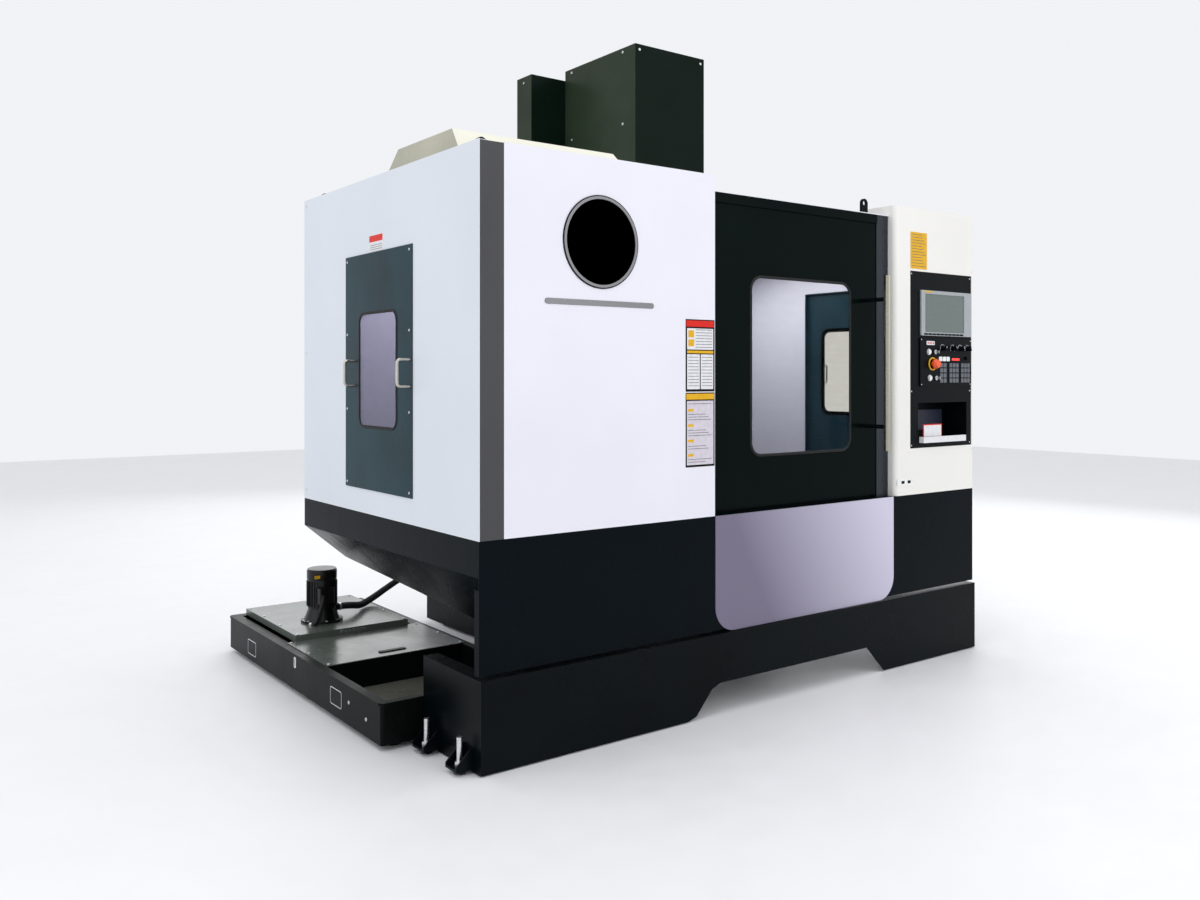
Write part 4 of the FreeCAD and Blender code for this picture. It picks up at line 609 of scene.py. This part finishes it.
for side, body, face, way in (("left", "left_cover", -4, -1), ("right", "right_cover", 2724, 1)):
    screws(side + "_cover_screws", spots([face], (492, 1047), (876, 1168, 1466, 1759)), "x", 5, body,
           outward=way)
for side, face, way in (("left", 1157, -1), ("right", 1563, 1)):
    screws("motor_cover_screws_" + side, spots([face], (724, 1120), (2100, 2425, 2745)), "x", 6, "head",
           outward=way)
screws("motor_cover_screws_front", spots((1180, 1540), [636], (2100, 2740)), "y", 6, "head", outward=-1)
screws("way_cover_screws", spots([963], [1240], (2080, 2390, 2690)), "x", 5, "head", outward=-1)
screws("hatch_screws", spots(range(95, 780, 75), (326, 720), [2172]), "z", 5, "frame")
rear_rows = (40, 480, 900, 1800, 1860, 2710)
screws("rear_panel_screws", spots(rear_rows, [1530], (800, 1200, 1600, 1990)), "y", 5, "frame")
screws("right_side_screws", spots([2720], (285, 900, 1500), (785, 2045)), "x", 5, "frame")
screws("left_side_screws", spots([0], [1505], (800, 1400, 2045)), "x", 4.5, "frame", outward=-1)
screws("control_box_screws", spots((2230, 2712), [0], (955, 1800)), "y", 4, "frame", WARM_WHITE,
       "warm_white_coat", outward=-1)
print("screws placed")

# %% [markdown]
# ## Plates on the enclosure
# The plates carry no writing. Each is a dark edge with flat fields of colour laid on it, a tenth
# of a millimetre higher each time, so that no two faces lie in one plane.

# %% colour plates
def fields(name, boxes, level, finish, slot, plane="front"):
    """Flat fields (across from, to, up from, to) in mm on the front or left face, at a height above it."""
    parts = []
    for a0, a1, z0, z1 in boxes:
        middle, up = (a0 + a1) / 2, (z0 + z1) / 2
        if plane == "front":
            parts.append(plate_mesh(spot(middle, -level / 2, up), sizes(z1 - z0, a1 - a0, level), "y",
                                    0.0012, 0.00008))
        else:
            parts.append(plate_mesh(spot(-level / 2, middle, up), sizes(a1 - a0, z1 - z0, level), "x",
                                    0.0012, 0.00008))
    return as_piece(name, *many(parts), "frame", finish, slot)


fields("upper_plate_edge", [(890, 1037, 1241, 1514)], 0.6, BLACK, "black_plastic")
fields("upper_plate_white", [(897, 1030, 1400, 1480), (897, 961, 1250, 1382), (966, 1030, 1250, 1382)], 0.9,
       LABEL_WHITE, "white_plastic")
fields("upper_plate_red", [(893, 1034, 1486, 1510)], 0.9, LABEL_RED, "red_plastic")
fields("upper_plate_yellow", [(897, 1030, 1386, 1396)] + [(903, 932, z, z + 26) for z in (1412, 1446)], 1.2,
       SIGNAL_YELLOW, "grey_plastic")
upper_rows = [(940, 1024, z, z + 2) for z in range(1408, 1476, 11)]
upper_rows += [(a, a + 54, z, z + 2) for a in (902, 971) for z in range(1262, 1376, 12)]
fields("upper_plate_lines", upper_rows, 1.2, KEY_GREY, "grey_plastic")
fields("lower_plate_edge", [(890, 1037, 956, 1237)], 0.6, BLACK, "black_plastic")
fields("lower_plate_field", [(896, 1031, 964, 1206)], 0.9, LABEL_LILAC, "white_plastic")
lower_marks = [(901, 930, z, z + 10) for z in (1166, 1108, 1050, 996)]
fields("lower_plate_yellow", [(893, 1034, 1211, 1233)] + lower_marks, 1.2, SIGNAL_YELLOW, "grey_plastic")
lower_rows = [(901, 1020 - 14 * (z % 3), z, z + 2) for z in range(974, 1200, 10)
              if all(abs(z - y) > 13 for y in (1171, 1113, 1055, 1001))]
fields("lower_plate_lines", lower_rows, 1.2, KEY_GREY, "grey_plastic")
fields("side_plate_white", [(723, 848, 1782, 1846)], 0.6, LABEL_WHITE, "white_plastic", "left")
fields("side_plate_red", [(726, 845, 1818, 1843)], 0.9, LABEL_RED, "red_plastic", "left")
fields("side_plate_lines", [(732, 838, z, z + 2) for z in (1788, 1796, 1804)], 0.9, KEY_GREY,
       "grey_plastic", "left")
fields("box_plate_yellow", [(2243, 2364, 1788, 1955)], 0.6, SIGNAL_YELLOW, "grey_plastic")
fields("box_plate_lines", [(2252, 2354 - 9 * (z % 4), z, z + 2.4) for z in range(1800, 1946, 13)], 0.9,
       KEY_GREY, "grey_plastic")
fields("box_tab", [(2149, 2274, 808, 835)], 0.6, IVORY, "white_plastic")
fields("box_tab_marks", [(2178, 2200, 815, 828), (2222, 2244, 815, 828)], 0.9, BLACK, "black_plastic")

# %% [markdown]
# ## The round badge
# A plain disc with a bright ring and a bar under it stand where a maker would put a name. The disc
# is one turned profile: a raised rim, a groove and a slightly crowned middle.

# %% badge
crown = [(0.0005, -0.0038), (0.09, -0.0034), (0.148, -0.0026), (0.151, -0.0042), (0.162, -0.0042),
         (0.165, -0.003),
         (0.165, 0.0)]
turned("badge_disc", crown, spot(495, 0, 1772), "y", "frame", BLACK, "black_plastic", 96)
ring = [(0.1505, -0.0040), (0.1515, -0.0052), (0.1605, -0.0052), (0.1615, -0.0040)]
turned("badge_ring", ring, spot(495, 0, 1772), "y", "frame", BADGE_SILVER, "bright_steel", 96)
plate("badge_bar", spot(495, -1, 1556), sizes(20, 480, 2), "y", 0.0099, 0.0005, "frame", BADGE_SILVER,
      "bright_steel")

# %% [markdown]
# ## The operator's panel
# The keys are the same small cushion many times over, so they are worked out as a grid: a row
# count and a column count give all the places at once, and each colour becomes one mesh.

# %% key fields
def key_grid(name, across, up, columns, rows, finish, slot, gap=4.0, height=3.0, face=-3.0):
    """Cushion keys that fill a field of the panel, given as (from, to) spans in mm."""
    wide, tall = (across[1] - across[0]) / columns, (up[1] - up[0]) / rows
    keys = []
    for i in range(columns):
        for j in range(rows):
            centre = spot(across[0] + (i + 0.5) * wide, face - height / 2, up[0] + (j + 0.5) * tall)
            keys.append(plate_mesh(centre, sizes(tall - gap, wide - gap, height), "y", 0.0025, 0.0009))
    return as_piece(name, *many(keys), "frame", finish, slot)


key_grid("keys_left", (2456, 2510), (1267, 1362), 2, 4, KEY_GREY, "grey_plastic")
key_grid("keys_middle", (2529, 2604), (1267, 1362), 3, 4, KEY_GREY, "grey_plastic")
key_grid("keys_right", (2620, 2693), (1267, 1362), 3, 4, KEY_GREY, "grey_plastic")
key_grid("keys_white", (2448, 2534), (1367, 1392), 3, 1, IVORY, "white_plastic")
key_grid("display_keys", (2336, 2640), (1487.5, 1498.5), 10, 1, BLACK, "black_plastic", 3.0, 1.6, -5.0)
plate("key_lamps_plate", spot(2388, -3.6, 1452), sizes(18, 60, 1.4), "y", 0.002, 0.0004, "frame",
      LABEL_WHITE, "white_plastic")
key_grid("key_lamps", (2362, 2414), (1446, 1458), 4, 1, LABEL_RED, "red_plastic", 5.0, 1.2, -4.2)
plate("load_display", spot(2577, -4.5, 1378), sizes(18, 70, 3), "y", 0.002, 0.0006, "frame", BLACK,
      "black_plastic")
plate("load_display_lit", spot(2577, -6.2, 1378), sizes(11, 60, 0.6), "y", 0.001, 0.0002, "frame", RED_LED,
      "red_plastic")
turned("small_dial", [(0.0005, -0.0135), (0.007, -0.0133), (0.008, -0.0125), (0.009, -0.0045),
                      (0.0095, -0.003)],
       spot(2664, 0, 1384), "y", "frame", BLACK, "black_plastic", 28)
plate("screen_strip", spot(2372, -5.6, 1688), sizes(6, 64, 1.2), "y", 0.001, 0.0003, "frame", SIGNAL_YELLOW,
      "grey_plastic")
print("keys done")

# %% knob scales and pointers
def knob_marks(name, at, inner, outer, count, sweep):
    """Short bars round a knob: at each angle, a bar from the inner to the outer radius, laid on the panel."""
    verts, faces = [], []
    x, z = at
    for k, angle in enumerate(np.radians(np.linspace(90 + sweep / 2, 90 - sweep / 2, count))):
        ray = np.array([math.cos(angle), math.sin(angle)])
        side = np.array([-math.sin(angle), math.cos(angle)])
        corners = [ray * inner - side * 0.7, ray * outer - side * 0.7, ray * outer + side * 0.7,
                   ray * inner + side * 0.7]
        for depth in (-3.0, -3.5):
            verts += [spot(x + c[0], depth, z + c[1]) for c in corners]
        b = k * 8
        faces += [[b + 3, b + 2, b + 1, b], [b + 4, b + 5, b + 6, b + 7]]
        faces += [[b + i, b + (i + 1) % 4, b + 4 + (i + 1) % 4, b + 4 + i] for i in range(4)]
    return as_piece(name, verts, faces, "frame", IVORY, "white_plastic", smooth=False)


KNOBS = (("mode_knob", 2479, 200), ("feed_knob", 2557, 250), ("rapid_knob", 2616, 160),
         ("spindle_knob", 2673, 220))
for knob_name, at_x, sweep in KNOBS:
    knob_marks(knob_name + "_scale", (at_x, 1429), 14.5, 20, 9, sweep)
    plate(knob_name + "_line", spot(at_x, -27.2, 1434), sizes(9, 2, 0.5), "y", 0.0008, 0.0001, knob_name,
          IVORY, "white_plastic")
turned("stop_collar", [(0.0305, -0.003), (0.0305, -0.0052), (0.029, -0.0060), (0.024, -0.0060),
                       (0.0235, -0.003)][::-1],
       spot(2403, 0, 1356), "y", "frame", SIGNAL_YELLOW, "grey_plastic", 48)
for button, (x, z) in {"start_button": (2373, 1411), "hold_button": (2380, 1291)}.items():
    turned(button + "_ring", [(0.0113, -0.0062), (0.0120, -0.0068), (0.0145, -0.0064), (0.0150, -0.003)],
           spot(x, 0, z), "y", "frame", ZINC, "zinc_steel", 36)
for key, (x, z) in {"key_upper": (2418, 1411), "key_lower": (2425, 1291)}.items():
    turned(key + "_ring", [(0.0105, -0.0040), (0.0110, -0.0046), (0.0128, -0.0044), (0.0132, -0.003)],
           spot(x, 0, z), "y", "frame", BLACK, "black_plastic", 32)
screws("panel_screws", spots((2320, 2697), [-3], (1261, 1467)), "y", 3, "frame", outward=-1)
screws("bezel_screws", spots((2326, 2697), [-5], (1494, 1686)), "y", 3, "frame", outward=-1)
screws("fascia_screws", spots((2254, 2700), [3], (984, 1230, 1765)), "y", 3.5, "frame", outward=-1)

# %% the niche and its papers
plate("niche_pad", spot(2536, 126, 1092), sizes(96, 236, 6), "y", 0.006, 0.001, "frame", BLUE_BLACK,
      "black_plastic")
plate("booklet_cover", spot(2391, -11.0, 1046), sizes(66, 140, 1.6), "y", 0.002, 0.0004, "frame", LABEL_RED,
      "red_plastic")
plate("booklet_page", spot(2391, -12.2, 1048), sizes(52, 128, 1.0), "y", 0.001, 0.0003, "frame",
      LABEL_WHITE, "white_plastic")
print("panel dressed")

# %% [markdown]
# ## Tank, pump and hose
# The lids are dull sheet, and their life is in the edges: handles let into the side, dished
# screws. The hose is a real hose: it follows one smooth line through the points of its route.

# %% hose
route = [(186.5, 1621, 240), (246.5, 1621, 240), (316.5, 1661, 221), (376.5, 1731, 215), (441.5, 1776, 225),
         (526.5, 1801, 260), (626.5, 1801, 310), (726.5, 1800, 365), (808, 1800, 400), (868, 1800, 400)]
line_data = bpy.data.curves.new("coolant_delivery_hose", "CURVE")
line_data.dimensions = "3D"
spline = line_data.splines.new("NURBS")
spline.points.add(len(route) - 1)
for point, place in zip(spline.points, route):
    point.co = (*spot(*place), 1)
spline.order_u = 3
spline.use_endpoint_u = True
line_data.resolution_u = 16
line_object = bpy.data.objects.new("hose_line", line_data)
bpy.context.scene.collection.objects.link(line_object)
bpy.context.view_layer.update()
sampled = bpy.data.meshes.new_from_object(line_object)
smooth_line = np.empty(len(sampled.vertices) * 3)
sampled.vertices.foreach_get("co", smooth_line)
smooth_line = smooth_line.reshape(-1, 3)
bpy.data.objects.remove(line_object)
bpy.data.meshes.remove(sampled)
travel = np.concatenate([[0], np.cumsum(np.linalg.norm(np.diff(smooth_line, axis=0), axis=1))])
steps = np.arange(0, travel[-1], 0.0022)
fine_line = np.column_stack([np.interp(steps, travel, smooth_line[:, k]) for k in range(3)])
fine_line[-1] = smooth_line[-1]
ribs = 0.0151 + 0.0009 * np.cos(steps * 2 * math.pi / 0.0088)
hose = as_piece("coolant_delivery_hose", *tube_mesh(fine_line, ribs, 20), "frame", RUBBER, "hose_rubber")
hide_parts("coolant_hose")
turned("hose_union", [(0.0195, -0.012), (0.021, -0.010), (0.021, 0.0), (0.0165, 0.004), (0.0165, 0.012)],
       spot(868, 1800, 400), "x", "frame", ZINC, "zinc_steel", 6)
for name, at in (("hose_clip_pump", fine_line[7]), ("hose_clip_bed", fine_line[-9])):
    turned(name, [(0.0164, -0.005), (0.0176, -0.0042), (0.0176, 0.0042), (0.0164, 0.005)], at, "x", "frame",
           ZINC, "zinc_steel", 32)

# %% ribbed conduits
def conduit(name, points, radius, ripple, count, passes, sides):
    """A ribbed conduit along points in mm: joined by straight runs, then smoothed by averaging neighbours
    many times, p = (before + 2 p + after) / 4, and swept with radius + ripple * cos(2 pi k / 3)."""
    points = np.array([spot(*p) for p in points])
    at = np.linspace(0, len(points) - 1, count)
    path = np.column_stack([np.interp(at, range(len(points)), points[:, k]) for k in range(3)])
    for _ in range(passes):
        path[1:-1] = (path[:-2] + 2 * path[1:-1] + path[2:]) / 4
    ribbed = radius + ripple * np.cos(np.arange(count) * 2 * math.pi / 3)
    return as_piece(name, *tube_mesh(path, ribbed, sides), "frame", RUBBER, "hose_rubber")


print("conduits can be drawn")

# %% tank fittings
def side_grip(name, t, z):
    """A grip let into the tank's side: a thin frame round a flat black plate, painted shade in place
    of the recessed pocket.
    """
    frame_ring = gasket_mesh(spot(-160.6, t, z), sizes(104, 62), "x", 0.008, 0.005, 0.0012)
    pocket = plate_mesh(spot(-161.1, t, z), sizes(100, 58, 0.5), "x", 0.008, 0.0001)
    as_piece(name + "_frame", *frame_ring, "frame", ZINC, "zinc_steel")
    # painted shade: the pocket is a flat black plate on the wall, not a recess
    as_piece(name + "_pocket_shade", *pocket, "frame", BLACK, "black_plastic")


side_grip("tank_grip_back", 1745, 78)
side_grip("tank_grip_front", 789, 92)
plate("level_gauge", spot(-161.1, 1212, 130), sizes(22, 44, 0.6), "x", 0.006, 0.0001, "frame", LABEL_WHITE,
      "white_plastic")
plate("level_gauge_slot", spot(-161.4, 1212, 130), sizes(8, 32, 0.5), "x", 0.003, 0.0001, "frame", LID_GREY,
      "lid_paint")
screws("front_lid_screws", spots((-118, 467), (965, 1168, 1370), [170]), "z", 6, "frame")
screws("rear_lid_screws", spots((-80, 416), (1400, 1610, 1820, 2016), [195]), "z", 6, "frame")
PUMP = (105, 1591)
flange_turns = np.linspace(0.4, 2 * math.pi + 0.4, 6, endpoint=False)
flange_ring = [spot(PUMP[0] + 82 * math.cos(a), PUMP[1] + 82 * math.sin(a), 205) for a in flange_turns]
screws("pump_flange_screws", flange_ring, "z", 5, "frame")
screws("tank_side_screws", [spot(-161, 663, 105), spot(-161, 512, 83)], "x", 7, "frame", outward=-1)
plate("rear_lid_plate", spot(168, 1384.6, 183), sizes(14, 120, 1.2), "y", 0.003, 0.0003, "frame", ZINC,
      "zinc_steel")
plate("lid_grip", spot(175, 1010, 172), sizes(120, 26, 4), "z", 0.010, 0.0012, "frame", BLACK,
      "black_plastic")
print("tank dressed")

# %% pump
turned("pump_fan_cowl", [(0.0655, 0.385), (0.0665, 0.387), (0.0665, 0.424), (0.060, 0.4305),
                         (0.0005, 0.4309)],
       spot(*PUMP, 0), "z", "frame", MOTOR_BLACK, "motor_black", 48)
fins = []
for angle in np.linspace(0, 2 * math.pi, 28, endpoint=False):
    out = np.array([math.cos(angle), math.sin(angle)])
    if abs(angle - 1.5 * math.pi) > 0.5:
        verts, faces = plate_mesh((0, 0, 0), sizes(5, 2.4, 112), "z", 0.0008, 0.0003)
        turned_verts = verts.copy()
        turned_verts[:, 0] = out[0] * verts[:, 0] - out[1] * verts[:, 1]
        turned_verts[:, 1] = out[1] * verts[:, 0] + out[0] * verts[:, 1]
        fins.append((turned_verts + spot(PUMP[0] + 65.5 * out[0], PUMP[1] + 65.5 * out[1], 322), faces))
as_piece("pump_fins", *many(fins), "frame", MOTOR_BLACK, "motor_black")
plate("pump_mark", spot(60, 1530.5, 402), sizes(14, 26, 1), "y", 0.002, 0.0002, "frame", SIGNAL_YELLOW,
      "grey_plastic")
conduit("pump_conduit", [(75, 1500, 320), (70, 1484, 310), (52, 1470, 268), (40, 1476, 222),
                         (36, 1500, 199),
                         (34, 1530, 196)], 0.0085, 0.0007, 90, 60, 16)
turned("conduit_gland", [(0.0135, 0.0), (0.0135, 0.006), (0.0105, 0.010), (0.009, 0.011)],
       spot(34, 1531, 195), "z", "frame", ZINC, "zinc_steel", 6)
print("pump dressed")

# %% [markdown]
# ## Back of the machine
# The cabinet breathes through pressed louvers, each a shallow hood over a black strip that is
# painted shade in place of the dark slit. The column is held by a row of hexagon bolts, and ribbed
# conduits carry the cables from cabinet to column.

# %% louvers, isolator and plates on the cabinet
hoods, shade_slits = [], []
for low in (520, 1580):
    for k in range(10):
        z = low + 26 * k
        hoods.append(plate_mesh(spot(2300, 1974, z), sizes(11, 300, 5), "y", 0.005, 0.002))
        # painted shade: a black strip under each hood stands in for the louver's dark opening
        shade_slits.append(plate_mesh(spot(2300, 1972.3, z - 8), sizes(5, 292, 1), "y", 0.0024, 0.0002))
as_piece("cabinet_louvers", *many(hoods), "cabinet_door", CABINET, "cabinet_coat")
as_piece("cabinet_slit_shade", *many(shade_slits), "cabinet_door", BLACK, "black_plastic")
plate("isolator_plate", spot(2030, 1973.5, 1480), sizes(84, 84, 3), "y", 0.008, 0.0008, "cabinet_door",
      SIGNAL_YELLOW, "grey_plastic")
knob = [(0.034, 0.0), (0.034, 0.008), (0.030, 0.011), (0.026, 0.012), (0.024, 0.026), (0.022, 0.029),
        (0.001, 0.030)]
turned("isolator_knob", knob, spot(2030, 1974.8, 1480), "y", "cabinet_door", RED, "red_plastic", 48)
plate("isolator_grip", spot(2030, 2009, 1480), sizes(52, 12, 12), "y", 0.004, 0.002, "cabinet_door", RED,
      "red_plastic")
plate("rating_plate", spot(2030, 1972.6, 1330), sizes(60, 100, 1.2), "y", 0.003, 0.0002, "cabinet_door",
      BEZEL, "bright_steel")
lines = [plate_mesh(spot(2030, 1973.3, z), sizes(2.4, 84, 0.3), "y", 0.001, 0.00008)
         for z in range(1312, 1352, 9)]
as_piece("rating_lines", *many(lines), "cabinet_door", BLACK, "black_plastic")
screws("cabinet_back_screws", spots((1918, 2676), [1972], (380, 1180, 1970)), "y", 5, "cabinet_door")
screws("cabinet_side_screws", spots([2700], (1560, 1925), (390, 1180, 1960)), "x", 5, "frame")
plate("cabinet_fan_guard", spot(2702, 1740, 1760), sizes(150, 150, 4), "x", 0.012, 0.001, "frame", BLACK,
      "black_plastic")
bars = [plate_mesh(spot(2705, 1740, 1706 + 12 * k), sizes(130, 4, 3), "x", 0.0018, 0.0005)
        for k in range(10)]
as_piece("cabinet_fan_bars", *many(bars), "frame", CHARCOAL, "black_plastic")
print("cabinet dressed with", len(hoods), "louvers")

# %% column bolts, window frame and conduits
HEX = [(0.014, 0.0), (0.014, 0.011), (0.012, 0.013), (0.001, 0.013)]
WASHER = [(0.020, 0.0), (0.020, 0.002), (0.019, 0.003), (0.001, 0.003)]
feet = spots((980, 1740), (1590, 1740, 1890, 2040), [600]) + spots((1130, 1360, 1590), [2070], [600])
bolts = [turned_mesh(HEX, p + np.array([0, 0, 0.003]), "z", 6) for p in feet]
washers = [turned_mesh(WASHER, p, "z", 24) for p in feet]
as_piece("column_bolts", *many(bolts), "frame", ZINC, "zinc_steel")
as_piece("column_washers", *many(washers), "frame", ZINC, "zinc_steel")
rubber = gasket_mesh(spot(1360, 2050, 1210), sizes(706, 346), "y", 0.062, 0.014, 0.008)
as_piece("column_window_rubber", *rubber, "frame", RUBBER, "hose_rubber")
for name, radius, points in (
        ("conduit_upper", 0.020, [(1960, 1740, 2000), (1960, 1740, 2110), (1880, 1740, 2150),
                                  (1790, 1740, 2110), (1711, 1740, 2100)]),
        ("conduit_middle", 0.016, [(1990, 1840, 2000), (1990, 1840, 2130), (1900, 1840, 2180),
                                   (1790, 1840, 2130), (1711, 1840, 2120)]),
        ("conduit_lower", 0.022, [(2060, 1700, 350), (2060, 1700, 300), (2010, 1700, 262),
                                  (1920, 1700, 258), (1841, 1700, 258)])):
    conduit(name, points, radius, 0.07 * radius, 260, 260, 18)
collar = [(0.028, 0.0), (0.028, 0.009), (0.024, 0.012), (0.001, 0.012)]
for name, place, axis in (("gland_upper", (1960, 1740, 2000), "z"),
                          ("gland_middle", (1990, 1840, 2000), "z"),
                          ("gland_upper_end", (1710, 1740, 2100), "x"),
                          ("gland_middle_end", (1710, 1840, 2120), "x"),
                          ("gland_lower_end", (1840, 1700, 258), "x")):
    turned(name, collar, spot(*place), axis, "frame", ZINC, "zinc_steel", 6)
print(len(feet), "bolts and three conduits at the back")

# %% rear wall fittings
for name, s in (("rear_rib_left", 330), ("rear_rib_right", 660)):
    plate(name, spot(s, 1532, 1290), sizes(1380, 34, 4), "y", 0.006, 0.0015, "frame", WHITE, "white_coat")
plate("air_bracket", spot(800, 1534, 1180), sizes(120, 190, 8), "y", 0.006, 0.001, "frame", ZINC,
      "zinc_steel")
bowl = [(0.001, -0.058), (0.020, -0.056), (0.026, -0.046), (0.027, 0.0), (0.030, 0.002), (0.030, 0.050),
        (0.022, 0.056), (0.018, 0.074), (0.001, 0.076)]
for name, s in (("air_filter", 760), ("air_regulator", 840)):
    turned(name, bowl, spot(s, 1568, 1180), "z", "frame", KEY_GREY, "grey_plastic", 40)
turned("air_gauge", [(0.020, 0.0), (0.020, 0.014), (0.018, 0.016), (0.001, 0.016)], spot(840, 1596, 1200),
       "y", "frame", IVORY, "white_plastic", 36)
plate("oil_tank", spot(170, 1580, 1010), sizes(190, 130, 96), "y", 0.012, 0.004, "frame", IVORY,
      "white_plastic")
plate("oil_pump_box", spot(170, 1580, 1140), sizes(70, 110, 84), "y", 0.008, 0.003, "frame", MOTOR_BLACK,
      "motor_black")
turned("oil_cap", [(0.018, 0.0), (0.018, 0.012), (0.015, 0.015), (0.001, 0.015)], spot(210, 1590, 1105),
       "z", "frame", BLACK, "black_plastic", 30)
print("rear wall fitted")
